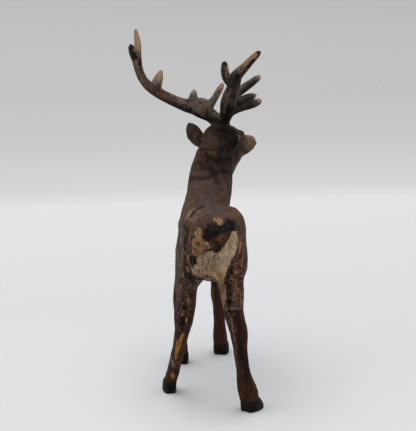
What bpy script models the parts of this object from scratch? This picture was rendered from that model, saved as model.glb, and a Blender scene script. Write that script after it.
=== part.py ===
"""A small cold-painted bronze stag, walking, its head turned to its right.

The figure is one casting. It faces +Y and stands on its four soles at Z = 0.
Lengths in the tables are figure units: one unit is one millimetre while the
stag is STATURE high, so the pose and proportions are shares of its height.
"""

import bmesh
import bpy
import numpy as np
from mathutils import Matrix, Vector
from mathutils.bvhtree import BVHTree

# Driving dimensions, in metres.
STATURE = 0.137
HOOF_HEIGHT = 0.0046

# The height in figure units at which the tables were drawn.
DRAWN_STATURE = 137.0
UNIT = STATURE / DRAWN_STATURE

# How finely the clay is fused, and how many triangles the casting keeps.
FLESH_GRAIN = 0.85
BODY_SMOOTHING = 26
FLESH_SMOOTHING = 7
CASTING_GRAIN = 0.42
CASTING_SMOOTHING = 2
CASTING_TRIANGLES = 9500
RING_SIDES = 24
SOLE_SINK = 0.7

RIGHT = Vector((1, 0, 0))
UP = Vector((0, 0, 1))

# The head's own frame: its centre, the way it looks, its right and its crown.
SKULL = Vector((10.6, 37.6, 91.8))
LOOK = Vector((0.70, 0.70, -0.13)).normalized()
HEAD_RIGHT = LOOK.cross(UP).normalized()
CROWN = HEAD_RIGHT.cross(LOOK).normalized()

# Every limb is a list of rings along its middle line: x, y, z, half width, half depth.
TRUNK = (
    (0.8, -44.5, 62.0, 5.0, 5.5),
    (0.8, -41.0, 62.3, 9.6, 10.8),
    (0.7, -34.0, 62.7, 11.8, 13.4),
    (0.6, -24.0, 62.8, 11.8, 13.5),
    (0.5, -12.0, 61.2, 10.6, 13.6),
    (0.6, 0.0, 59.4, 10.4, 15.0),
    (0.9, 12.0, 58.0, 10.0, 16.4),
    (1.3, 22.0, 57.4, 9.4, 16.6),
    (1.7, 31.0, 58.6, 8.4, 15.2),
    (1.9, 37.0, 59.6, 6.6, 12.0),
    (2.0, 41.0, 60.0, 4.0, 7.0),
)
NECK = (
    (1.6, 17.0, 62.0, 8.2, 18.5),
    (4.0, 23.4, 69.0, 9.1, 17.4),
    (5.0, 27.0, 74.5, 9.1, 14.2),
    (6.1, 29.3, 79.8, 8.6, 11.2),
    (7.6, 31.6, 85.0, 8.0, 9.2),
    (8.9, 34.2, 89.8, 7.3, 7.9),
    (10.3, 36.6, 93.6, 6.0, 6.6),
)
HIND_RIGHT = (
    (7.2, -27.0, 68.0, 6.4, 13.0),
    (7.5, -28.0, 60.0, 6.5, 14.3),
    (7.5, -28.5, 54.0, 6.0, 13.0),
    (7.4, -29.5, 49.5, 5.2, 10.4),
    (7.7, -32.5, 46.0, 4.5, 7.8),
    (7.8, -37.0, 42.5, 4.1, 5.4),
    (7.8, -41.0, 39.0, 3.8, 4.4),
    (8.6, -42.8, 35.5, 3.7, 4.0),
    (9.6, -42.8, 31.8, 3.5, 3.4),
    (10.1, -42.2, 27.5, 3.2, 2.8),
    (10.8, -41.5, 22.0, 2.9, 2.6),
    (11.4, -41.0, 17.5, 2.9, 2.6),
    (12.1, -40.5, 13.0, 3.2, 3.0),
    (13.0, -40.0, 9.2, 3.8, 3.6),
    (13.7, -39.4, 6.4, 3.9, 3.8),
    (14.4, -38.6, 4.0, 3.7, 3.9),
)
HIND_LEFT = (
    (-6.0, -26.0, 68.0, 5.3, 13.0),
    (-6.6, -26.5, 60.0, 6.3, 14.2),
    (-7.2, -26.0, 54.0, 5.8, 12.5),
    (-7.9, -25.5, 49.8, 5.1, 10.0),
    (-8.6, -25.5, 46.0, 4.3, 7.8),
    (-8.9, -27.0, 42.5, 4.0, 5.6),
    (-9.2, -28.6, 39.2, 4.0, 4.5),
    (-9.8, -29.2, 36.0, 4.0, 4.0),
    (-10.1, -28.3, 32.5, 3.8, 3.5),
    (-10.7, -26.4, 28.5, 3.3, 2.9),
    (-11.5, -23.2, 21.5, 2.9, 2.6),
    (-12.2, -20.2, 16.5, 2.7, 2.5),
    (-12.9, -17.6, 12.0, 2.6, 2.6),
    (-13.4, -15.8, 8.8, 2.6, 2.9),
    (-13.9, -14.4, 6.2, 2.6, 2.9),
    (-14.3, -13.2, 4.0, 2.6, 3.1),
)
FORE_RIGHT = (
    (6.6, 20.0, 60.0, 3.6, 8.0),
    (7.8, 21.0, 50.0, 4.0, 7.8),
    (8.3, 22.5, 44.0, 4.0, 6.2),
    (8.2, 24.5, 39.0, 3.7, 4.7),
    (8.2, 26.0, 33.0, 3.3, 3.7),
    (8.4, 27.5, 27.5, 3.3, 3.5),
    (8.7, 28.5, 24.0, 2.9, 2.9),
    (9.1, 30.0, 18.5, 2.6, 2.5),
    (9.4, 31.5, 13.0, 2.7, 2.5),
    (9.7, 33.0, 9.2, 3.1, 3.0),
    (10.1, 34.6, 6.4, 3.4, 3.3),
    (10.5, 36.0, 4.0, 3.2, 3.4),
)
FORE_LEFT = (
    (-4.6, 18.0, 60.0, 3.6, 8.0),
    (-6.0, 18.8, 50.0, 3.7, 7.6),
    (-6.4, 19.4, 44.0, 3.6, 5.8),
    (-6.8, 20.0, 39.0, 3.4, 4.6),
    (-7.6, 20.0, 33.0, 3.1, 3.7),
    (-7.7, 20.5, 27.0, 3.1, 3.5),
    (-7.8, 20.5, 23.0, 2.8, 2.9),
    (-7.9, 21.0, 17.0, 2.6, 2.5),
    (-7.9, 21.8, 11.5, 2.7, 2.6),
    (-7.8, 22.8, 8.4, 3.0, 3.0),
    (-7.6, 23.8, 6.0, 3.1, 3.2),
    (-7.4, 24.8, 4.0, 3.0, 3.3),
)
TAIL = (
    (1.1, -35.0, 73.6, 3.4, 1.8),
    (1.3, -40.2, 72.9, 4.9, 1.9),
    (1.4, -43.3, 70.9, 5.3, 1.9),
    (1.4, -45.0, 68.2, 4.2, 1.7),
    (1.3, -45.6, 65.4, 2.6, 1.4),
    (1.2, -45.4, 62.8, 0.9, 0.8),
)

# The head from nape to nose: how far forward, rise, half width, half height.
HEAD = (
    (-9.0, -1.0, 3.2, 4.0),
    (-5.5, 0.0, 5.0, 6.0),
    (-1.0, 0.2, 5.9, 6.6),
    (3.5, -0.1, 6.0, 6.5),
    (7.5, -0.8, 5.2, 6.0),
    (11.5, -1.6, 4.1, 5.3),
    (15.0, -1.6, 3.5, 4.4),
    (18.5, -1.3, 3.3, 3.8),
    (20.8, -1.2, 2.8, 3.1),
    (22.2, -1.2, 1.9, 2.1),
)
# The throat: how far forward, rise, half width, half depth.
THROAT = (
    (12.5, -4.4, 2.7, 2.3),
    (9.5, -6.4, 3.6, 3.1),
    (6.0, -8.8, 4.4, 3.7),
    (2.6, -12.3, 4.8, 4.4),
    (-1.5, -17.5, 4.6, 5.0),
)

# The antlers' branches: x, y, z and radius from root to tip.
ANTLERS = {
    "left_beam": (
        (10.2, 37.2, 95.0, 2.8),
        (9.3, 38.4, 98.6, 2.8),
        (7.0, 40.3, 101.2, 2.7),
        (3.7, 41.6, 103.4, 2.6),
        (0.2, 42.3, 104.9, 2.5),
        (-3.3, 42.8, 105.7, 2.3),
        (-6.2, 43.1, 106.4, 2.15),
        (-11.0, 43.4, 108.7, 2.0),
        (-15.2, 43.4, 111.0, 1.95),
        (-18.9, 43.1, 113.7, 1.8),
        (-21.7, 42.8, 117.0, 1.5),
        (-23.3, 42.4, 121.3, 1.55),
        (-24.0, 42.0, 125.0, 1.85),
        (-24.0, 42.8, 127.8, 1.65),
        (-23.5, 44.5, 129.8, 1.4),
        (-23.4, 46.4, 132.2, 1.1),
        (-23.9, 47.8, 134.7, 0.85),
        (-24.1, 48.6, 136.9, 0.45),
    ),
    "left_rear_point": (
        (-23.9, 42.4, 124.6, 1.8),
        (-25.4, 40.6, 127.6, 1.5),
        (-26.3, 38.6, 130.0, 1.15),
        (-26.5, 37.6, 131.5, 0.6),
    ),
    "left_upper_tine": (
        (-16.4, 43.3, 111.6, 2.1),
        (-15.6, 44.8, 114.8, 1.9),
        (-14.5, 46.8, 117.3, 1.4),
        (-13.5, 48.6, 119.5, 0.5),
    ),
    "left_middle_tine": (
        (-0.9, 42.2, 105.4, 2.5),
        (-0.6, 43.8, 108.4, 1.7),
        (-0.2, 45.2, 110.2, 1.2),
        (0.0, 46.2, 111.6, 0.5),
    ),
    "left_brow_tine": (
        (3.8, 41.2, 103.8, 2.4),
        (6.6, 42.4, 106.2, 1.6),
        (8.6, 44.2, 108.6, 1.2),
        (10.2, 46.4, 110.8, 1.15),
        (11.6, 48.4, 112.6, 0.95),
        (12.4, 49.8, 113.9, 0.45),
    ),
    "left_web": (
        (-0.8, 42.8, 105.6, 1.6),
        (2.4, 42.6, 106.6, 1.9),
        (5.2, 42.2, 106.0, 1.6),
    ),
    "right_beam": (
        (11.2, 36.0, 95.0, 2.7),
        (11.2, 34.4, 99.4, 2.5),
        (12.1, 31.2, 103.8, 2.6),
        (12.3, 27.0, 108.3, 2.9),
        (12.6, 21.6, 112.4, 2.7),
        (12.9, 15.4, 115.6, 2.4),
        (13.0, 9.4, 119.1, 2.3),
        (13.4, 4.8, 122.4, 2.1),
        (15.9, 1.6, 125.8, 1.6),
        (18.2, -1.0, 128.9, 1.35),
        (20.4, -2.6, 131.4, 1.1),
        (21.6, -3.2, 132.8, 0.55),
    ),
    "right_rear_point": (
        (12.4, 7.0, 118.6, 1.8),
        (9.9, 4.4, 120.9, 1.5),
        (8.6, 1.4, 123.7, 1.45),
        (8.1, -1.0, 126.5, 1.3),
        (7.9, -2.6, 128.6, 0.7),
    ),
    "right_upper_tine": (
        (12.8, 17.0, 113.2, 2.1),
        (16.2, 18.6, 114.6, 1.6),
        (18.9, 21.0, 116.0, 1.45),
        (21.7, 23.6, 117.4, 1.3),
        (23.9, 26.1, 118.5, 1.1),
        (25.4, 27.6, 119.2, 0.55),
    ),
    "right_middle_tine": (
        (12.6, 26.4, 107.4, 2.3),
        (17.0, 28.8, 109.0, 1.8),
        (20.4, 31.6, 109.7, 1.5),
        (23.0, 34.2, 110.3, 1.2),
        (24.6, 35.6, 110.6, 0.6),
    ),
    "right_web": (
        (13.0, 28.6, 106.0, 1.8),
        (17.0, 30.4, 107.4, 1.5),
        (20.4, 32.8, 108.0, 1.2),
        (22.4, 34.6, 108.3, 0.8),
    ),
    "right_brow_tine": (
        (12.0, 30.4, 104.4, 2.4),
        (16.0, 31.6, 105.9, 2.0),
        (19.6, 34.0, 106.3, 1.7),
        (23.3, 37.0, 106.6, 1.5),
        (26.0, 39.6, 107.2, 1.2),
        (27.4, 41.0, 107.7, 0.6),
    ),
}
# The coronets at the antlers' roots and the web between: centre, then half sizes.
BURRS = (
    (9.4, 38.4, 97.8, 3.1, 3.1, 1.1),
    (11.3, 34.9, 98.3, 3.0, 3.0, 1.1),
    (10.2, 37.2, 101.0, 1.9, 2.2, 1.9),
)

# Ears: rings of x, y, z, half width and half thickness, the width's way and the curl.
LEFT_EAR = (
    (4.6, 38.8, 89.9, 2.2, 1.4),
    (2.0, 39.8, 91.2, 3.2, 1.1),
    (-0.4, 40.8, 93.4, 3.5, 0.9),
    (-1.8, 41.6, 95.8, 2.8, 0.8),
    (-2.4, 42.2, 97.6, 1.2, 0.6),
)
LEFT_EAR_WIDTH = Vector((0.8, 0.0, 0.6))
RIGHT_EAR = (
    (13.4, 34.6, 87.4, 2.0, 1.4),
    (15.0, 33.0, 88.9, 2.8, 1.1),
    (16.0, 31.4, 91.0, 3.1, 0.9),
    (16.8, 30.1, 93.3, 2.6, 0.8),
    (17.2, 29.2, 95.2, 1.2, 0.6),
)
RIGHT_EAR_WIDTH = Vector((0.35, 0.78, 0.33))
EAR_CURL = 1.9

# Hooves: the sole's centre, how far the toe turns out, half length and half width.
HOOVES = {
    "hind_right": (15.6, -37.4, -45.0, 4.9, 3.3),
    "hind_left": (-14.8, -12.0, 6.0, 5.0, 2.5),
    "fore_right": (10.9, 38.0, -12.0, 5.0, 3.2),
    "fore_left": (-7.5, 25.4, 4.0, 4.8, 3.0),
}

# Rounded lumps of flesh: centre, then half sizes across, along and up.
BODY_LUMPS = (
    (7.5, -27.0, 67.8, 6.4, 13.5, 9.3),
    (-5.7, -26.0, 67.0, 6.1, 13.5, 8.6),
    (1.0, -25.0, 66.0, 7.0, 17.0, 11.2),
    (6.9, 20.0, 54.0, 4.2, 9.0, 13.5),
    (-4.9, 18.5, 54.0, 4.2, 9.0, 13.5),
    (2.2, 31.0, 65.0, 7.6, 9.5, 11.0),
)
LEG_LUMPS = (
    (7.9, -45.0, 40.2, 2.1, 1.8, 2.6),
    (-9.5, -32.2, 38.4, 2.1, 1.8, 2.6),
    (0.6, -38.0, 54.2, 4.4, 5.5, 3.4),
)
# The eyes and brows: how far forward, to the side, rise and radius.
FACE_LUMPS = (
    (7.8, 3.9, 2.8, 1.7),
    (9.4, 4.1, 0.9, 1.3),
)

# Folds carved into the skin: points near it, then the fold's width and depth.
# A negative depth raises a ridge.
FOLDS = {
    "rump_cleft": (((1.0, -48, 62), (0.9, -47, 58), (0.8, -44, 52)), 1.3, 0.7),
    "tail_right": (((5.6, -42, 74), (6.4, -46, 70), (4.2, -48, 65)), 0.8, 0.5),
    "tail_left": (((-3.2, -42, 74), (-3.8, -46, 70), (-1.8, -48, 65)), 0.8, 0.5),
    "ham_right": (((10.5, -43, 62), (9.6, -43, 54), (8.6, -43, 46)), 1.4, 0.6),
    "ham_left": (((-9.0, -41, 62), (-9.4, -39, 54), (-9.6, -35, 46)), 1.4, 0.6),
    "stifle_right": (((13, -14, 66), (14, -15, 56), (12, -17, 47)), 1.8, 0.9),
    "stifle_left": (((-12, -13, 66), (-13, -14, 56), (-12, -15, 47)), 1.8, 0.9),
    "thigh_right": (((14, -30, 66), (15, -26, 57), (13, -27, 48)), 1.3, 0.45),
    "thigh_left": (((-13, -29, 66), (-14, -25, 57), (-13, -25, 48)), 1.3, 0.45),
    "blade_right": (((8, 9, 72), (12, 9, 62), (12, 10, 50), (10, 13, 44)), 1.9, 0.5),
    "blade_left": (((-6, 8, 72), (-10, 8, 62), (-10, 9, 50), (-8, 12, 44)), 1.9, 0.5),
    "point_right": (((10, 30, 66), (10, 31, 58), (8, 31, 48)), 1.4, 0.6),
    "point_left": (((-6, 29, 66), (-7, 30, 58), (-6, 29, 48)), 1.4, 0.6),
    "upper_arm_right": (((11, 16, 60), (12, 22, 52), (11, 27, 46)), 1.3, 0.45),
    "upper_arm_left": (((-9, 15, 60), (-10, 21, 52), (-9, 25, 46)), 1.3, 0.45),
    "nape_fold_low": (((-3, 28, 81), (1, 20, 81), (6, 18, 80)), 1.1, 0.4),
    "nape_fold_middle": (((3, 23, 86), (9, 22, 84), (14, 26, 81)), 0.9, 0.35),
    "nape_fold_high": (((2, 32, 90), (6, 27, 90), (11, 27, 88)), 0.8, 0.3),
    "gullet_right": (((16, 35, 84), (14, 33, 76), (11, 32, 68)), 1.3, 0.5),
    "gullet_left": (((2, 40, 86), (0, 38, 76), (-2, 36, 68)), 1.3, 0.5),
    "tendon_right": (((13, -42, 31), (14, -41.5, 22), (15, -41, 14)), 0.7, 0.35),
    "tendon_left": (((-13, -27, 30), (-14, -22, 20), (-15, -18.5, 13)), 0.7, 0.35),
}
# Folds of the face: points as forward, side and rise, for each side of the head.
FACE_FOLDS = {
    "mouth": (((21.6, 1.6, -2.4), (18, 3.2, -2.6), (14, 3.8, -3.1)), 0.5, 0.5),
    "nostril": (((21.6, 1.7, 0.1), (20.8, 2.5, 0.3)), 0.6, 0.6),
    "tear_pit": (((12.2, 3.9, 0.4), (14.0, 3.5, 0.2)), 0.6, 0.4),
    "cheek": (((8.0, 5.2, -3.0), (4.0, 5.8, -5.5), (1.0, 6.0, -7.0)), 1.0, 0.4),
}


def in_head(forward, across, rise):
    """A point given by the head's own directions, in figure units."""
    return SKULL + LOOK * forward + HEAD_RIGHT * across + CROWN * rise


def smooth_rows(rows, steps=3):
    """Rows read from a Catmull-Rom curve through the given ones."""
    table = np.array(rows, float)
    ends = np.vstack([2 * table[0] - table[1], table, 2 * table[-1] - table[-2]])
    made = []
    for i in range(len(table) - 1):
        before, here, there, after = ends[i : i + 4]
        for t in np.arange(steps) / steps:
            bend = 2 * before - 5 * here + 4 * there - after
            twist = 3 * here - before - 3 * there + after
            made.append(here + 0.5 * ((there - before) * t + bend * t**2 + twist * t**3))
    made.append(table[-1])
    return np.array(made)


def ring(bm, centre, side, front, halves, square=1.0, curl=0.0):
    """The corners of one elliptical ring, more square below 1 and bent by a curl."""
    corners = []
    for angle in np.arange(RING_SIDES) * 2 * np.pi / RING_SIDES:
        c, s = np.cos(angle), np.sin(angle)
        across = np.sign(c) * abs(c) ** square * halves[0]
        ahead = np.sign(s) * abs(s) ** square * halves[1] + curl * (c * c - 0.5)
        corners.append(bm.verts.new((centre + side * across + front * ahead) * UNIT))
    return corners


def skin(bm, rings):
    """Walls between neighbouring rings, with a cap at each end."""
    for lower, upper in zip(rings, rings[1:]):
        for i in range(RING_SIDES):
            j = (i + 1) % RING_SIDES
            bm.faces.new((lower[i], lower[j], upper[j], upper[i]))
    bm.faces.new(rings[0][::-1])
    bm.faces.new(rings[-1])


def loft(bm, rows, side_hint=RIGHT, square=1.0, curl=0.0):
    """One closed limb through rows of x, y, z, half width and half depth."""
    table = smooth_rows(rows)
    ways = np.gradient(table[:, :3], axis=0)
    rings = []
    for row, way in zip(table, ways):
        along = Vector(way).normalized()
        side = (side_hint - along * side_hint.dot(along)).normalized()
        halves = (max(row[3], 0.25), max(row[4], 0.25))
        front = along.cross(side)
        rings.append(ring(bm, Vector(row[:3]), side, front, halves, square, curl))
    skin(bm, rings)


def lump(bm, row):
    """An ellipsoid of clay."""
    matrix = Matrix.Translation(Vector(row[:3]) * UNIT)
    matrix = matrix @ Matrix.Diagonal((*(size * UNIT for size in row[3:6]), 1))
    bmesh.ops.create_uvsphere(bm, u_segments=20, v_segments=12, radius=1, matrix=matrix)


def hoof(bm, centre_x, centre_y, toe_turn, half_length, half_width):
    """A cloven hoof: two flared claws whose toes lean forward, on a flat sole."""
    height = HOOF_HEIGHT / UNIT
    turn = Matrix.Rotation(np.radians(toe_turn), 3, "Z")
    levels = (
        (-SOLE_SINK, 0.0, 1.0, 1.0),
        (0.0, 0.0, 1.0, 1.0),
        (0.35 * height, -0.2, 0.97, 1.02),
        (0.7 * height, -0.8, 0.87, 1.0),
        (height, -1.5, 0.74, 0.96),
        (1.2 * height, -1.7, 0.6, 0.8),
    )
    for claw in (-1, 1):
        side, front = turn @ RIGHT, turn @ Vector((-0.05 * claw, 1, 0))
        rings = []
        for z, shift, long_share, wide_share in levels:
            inset = claw * 0.36 * half_width * wide_share
            centre = Vector((centre_x, centre_y, z)) + side * inset + front * shift
            halves = (0.66 * half_width * wide_share, half_length * long_share)
            rings.append(ring(bm, centre, side, front, halves, 0.9))
        skin(bm, rings)


def new_object(name, bm):
    """Puts a bmesh into the scene as an object."""
    bmesh.ops.recalc_face_normals(bm, faces=bm.faces)
    mesh = bpy.data.meshes.new(name)
    bm.to_mesh(mesh)
    bm.free()
    obj = bpy.data.objects.new(name, mesh)
    bpy.context.scene.collection.objects.link(obj)
    return obj


def bake(obj):
    """Applies an object's modifiers."""
    graph = bpy.context.evaluated_depsgraph_get()
    baked = bpy.data.meshes.new_from_object(obj.evaluated_get(graph))
    obj.modifiers.clear()
    obj.data = baked


def fuse(obj, grain, smoothing):
    """Fuses overlapping clay into one skin and softens the joins."""
    remesh = obj.modifiers.new("fuse", "REMESH")
    remesh.mode = "VOXEL"
    remesh.voxel_size = grain * UNIT
    smooth = obj.modifiers.new("soften", "SMOOTH")
    smooth.factor = 0.5
    smooth.iterations = int(smoothing)
    bake(obj)


def make_body():
    """Trunk and neck, fused with the softest joins."""
    bm = bmesh.new()
    loft(bm, TRUNK, square=0.92)
    loft(bm, NECK)
    for row in BODY_LUMPS:
        lump(bm, row)
    body = new_object("body", bm)
    fuse(body, FLESH_GRAIN, BODY_SMOOTHING)
    return body


def make_flesh():
    """The body with its head and legs, fused with soft joins."""
    bm = bmesh.new()
    for leg in (HIND_RIGHT, HIND_LEFT, FORE_RIGHT, FORE_LEFT):
        loft(bm, leg)
    for rows in (HEAD, THROAT):
        loft(bm, [(*in_head(s, 0, rise), w, h) for s, rise, w, h in rows], HEAD_RIGHT)
    for row in LEG_LUMPS:
        lump(bm, row)
    flesh = join([make_body(), new_object("flesh", bm)])
    fuse(flesh, FLESH_GRAIN, FLESH_SMOOTHING)
    return flesh


def make_details():
    """Antlers, ears, tail, hooves, brows and eyes, which keep crisper edges."""
    bm = bmesh.new()
    for branch in ANTLERS.values():
        loft(bm, [(x, y, z, r, r) for x, y, z, r in branch], Vector((0.3, 0.9, 0.1)))
    for row in BURRS:
        lump(bm, row)
    loft(bm, TAIL)
    loft(bm, LEFT_EAR, LEFT_EAR_WIDTH, curl=EAR_CURL)
    loft(bm, RIGHT_EAR, RIGHT_EAR_WIDTH, curl=-EAR_CURL)
    for row in HOOVES.values():
        hoof(bm, *row)
    for forward, across, rise, radius in FACE_LUMPS:
        for side in (-across, across):
            lump(bm, (*in_head(forward, side, rise), radius, radius, radius))
    return new_object("details", bm)


def join(objects):
    """Gathers several objects' meshes into the first."""
    bm = bmesh.new()
    for obj in objects:
        bm.from_mesh(obj.data)
    first = objects[0]
    bm.to_mesh(first.data)
    bm.free()
    for obj in objects[1:]:
        bpy.data.objects.remove(obj)
    return first


def distance_to_line(points, line):
    """How far each point lies from a line of straight pieces."""
    nearest = np.full(len(points), np.inf)
    for start, end in zip(line, line[1:]):
        way = end - start
        share = np.clip((points - start) @ way / max(way @ way, 1e-9), 0, 1)
        gap = points - start - share[:, None] * way
        nearest = np.minimum(nearest, np.linalg.norm(gap, axis=1))
    return nearest


def carve(obj, folds):
    """Presses folds into the skin along lines laid on it."""
    mesh = obj.data
    corners = np.array([v.co for v in mesh.vertices]) / UNIT
    outward = np.array([v.normal for v in mesh.vertices])
    tree = BVHTree.FromPolygons(corners.tolist(), [list(p.vertices) for p in mesh.polygons])
    sunk = np.zeros(len(corners))
    for points, width, depth in folds:
        line = np.array([tree.find_nearest(Vector(p))[0] for p in smooth_rows(points, 6)])
        share = np.exp(-((distance_to_line(corners, line) / width) ** 2))
        sunk += depth * share
    moved = (corners - outward * sunk[:, None]) * UNIT
    mesh.vertices.foreach_set("co", moved.ravel())
    mesh.update()


def all_folds():
    """The folds of the body, and those of the face on both of its sides."""
    folds = list(FOLDS.values())
    for points, width, depth in FACE_FOLDS.values():
        for side in (-1, 1):
            line = [tuple(in_head(s, side * a, rise)) for s, a, rise in points]
            folds.append((line, width, depth))
    return folds


def thin_out(obj, triangles):
    """Keeps the given number of triangles, most where the form turns most."""
    present = sum(len(p.vertices) - 2 for p in obj.data.polygons)
    decimate = obj.modifiers.new("thin", "DECIMATE")
    decimate.ratio = min(1.0, triangles / present)
    decimate.use_collapse_triangulate = True
    bake(obj)


def cut_soles(obj):
    """Cuts the hooves off flat at Z = 0."""
    bm = bmesh.new()
    bm.from_mesh(obj.data)
    whole = bm.verts[:] + bm.edges[:] + bm.faces[:]
    bmesh.ops.bisect_plane(bm, geom=whole, plane_co=(0, 0, 0), plane_no=UP, clear_inner=True)
    rim = [e for e in bm.edges if e.is_boundary]
    bmesh.ops.holes_fill(bm, edges=rim, sides=0)
    bmesh.ops.recalc_face_normals(bm, faces=bm.faces)
    bm.to_mesh(obj.data)
    bm.free()


def centre_on_floor(obj):
    """Moves the stag so that its box stands centred on the origin."""
    corners = np.array([v.co for v in obj.data.vertices])
    middle = (corners.min(axis=0) + corners.max(axis=0)) / 2
    obj.data.transform(Matrix.Translation((-middle[0], -middle[1], 0)))


def painted_bronze():
    """The brown cold paint as a plain material."""
    material = bpy.data.materials.new("painted_bronze")
    material.use_nodes = True
    shader = material.node_tree.nodes["Principled BSDF"]
    shader.inputs["Base Color"].default_value = (0.075, 0.035, 0.024, 1)
    shader.inputs["Roughness"].default_value = 0.5
    shader.inputs["Metallic"].default_value = 0.0
    return material


def main():
    """Builds the stag."""
    for obj in list(bpy.data.objects):
        bpy.data.objects.remove(obj)
    stag = join([make_flesh(), make_details()])
    stag.name = "stag"
    fuse(stag, CASTING_GRAIN, CASTING_SMOOTHING)
    carve(stag, all_folds())
    thin_out(stag, CASTING_TRIANGLES)
    cut_soles(stag)
    centre_on_floor(stag)
    stag.data.materials.append(painted_bronze())
    stag.data.shade_smooth()


if __name__ == "__main__":
    main()
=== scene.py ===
"""The looks of a small cold-painted bronze stag: its modelled skin, its worn paint and its studio.

The casting stands in the frame of the solid it dresses: it faces +Y and stands on Z = 0.
Places and sizes in the tables are in millimetres; MM turns them into metres.
"""

import itertools
import logging
from collections.abc import Iterable, Iterator, Mapping, Sequence
from dataclasses import dataclass
from enum import Enum
from typing import Union

import bmesh
import bpy
import numpy as np
from mathutils import Matrix, Vector
from mathutils.bvhtree import BVHTree


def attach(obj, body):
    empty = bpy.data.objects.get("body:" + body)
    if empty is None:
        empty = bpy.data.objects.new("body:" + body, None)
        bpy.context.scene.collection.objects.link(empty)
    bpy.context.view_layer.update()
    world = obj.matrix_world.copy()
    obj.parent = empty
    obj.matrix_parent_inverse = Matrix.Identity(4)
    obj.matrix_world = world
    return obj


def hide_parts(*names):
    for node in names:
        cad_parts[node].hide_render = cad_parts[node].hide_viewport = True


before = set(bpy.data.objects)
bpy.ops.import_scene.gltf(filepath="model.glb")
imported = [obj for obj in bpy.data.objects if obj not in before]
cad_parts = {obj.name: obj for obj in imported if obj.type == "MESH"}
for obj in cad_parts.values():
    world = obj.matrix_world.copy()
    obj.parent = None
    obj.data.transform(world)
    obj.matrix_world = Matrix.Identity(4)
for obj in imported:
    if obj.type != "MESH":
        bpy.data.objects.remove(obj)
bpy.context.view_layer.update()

MM = 0.001

Point = tuple[float, float, float]
Place = tuple[float, float]
Track = tuple[Point, ...]
Loop = tuple[Place, ...]
Colour = tuple[float, float, float, float]
Tones = tuple[tuple[float, int, int, int], ...]
Stroke = tuple[float, float, int]
Grain = tuple[float, float, float]
Array = np.ndarray
LOG = logging.getLogger("stag")


# The shader workbench.
class Signal:
    """A value that runs through a material, with arithmetic that adds Math nodes."""

    def __init__(self, bench: "Bench", socket: bpy.types.NodeSocket) -> None:
        """Wraps one output socket of a material."""
        self.bench = bench
        self.socket = socket

    def _sum(self, operation: str, first: "Operand", second: "Operand") -> "Signal":
        """Adds one Math node with two operands."""
        return self.bench.node("ShaderNodeMath", {"operation": operation}, {0: first, 1: second})

    def __add__(self, other: "Operand") -> "Signal":
        """This signal plus another."""
        return self._sum("ADD", self, other)

    def __radd__(self, other: "Operand") -> "Signal":
        """Another value plus this signal."""
        return self._sum("ADD", other, self)

    def __sub__(self, other: "Operand") -> "Signal":
        """This signal less another."""
        return self._sum("SUBTRACT", self, other)

    def __rsub__(self, other: "Operand") -> "Signal":
        """Another value less this signal."""
        return self._sum("SUBTRACT", other, self)

    def __mul__(self, other: "Operand") -> "Signal":
        """This signal times another."""
        return self._sum("MULTIPLY", self, other)

    def __rmul__(self, other: "Operand") -> "Signal":
        """Another value times this signal."""
        return self._sum("MULTIPLY", other, self)

    def __truediv__(self, other: "Operand") -> "Signal":
        """This signal over another."""
        return self._sum("DIVIDE", self, other)

    def most(self, other: "Operand") -> "Signal":
        """The greater of this signal and another."""
        return self._sum("MAXIMUM", self, other)

    def step(self, low: float, high: float) -> "Signal":
        """Goes smoothly from 0 at one value to 1 at another.

        Args:
            low: The value that gives 0.
            high: The value that gives 1, which may be the smaller one.

        Returns:
            The share, held between 0 and 1.
        """
        settings = {"interpolation_type": "SMOOTHSTEP"}
        return self.bench.node("ShaderNodeMapRange", settings, {0: self, 1: low, 2: high, 3: 0.0, 4: 1.0})


Operand = Union[Signal, float, Sequence[float]]


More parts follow.
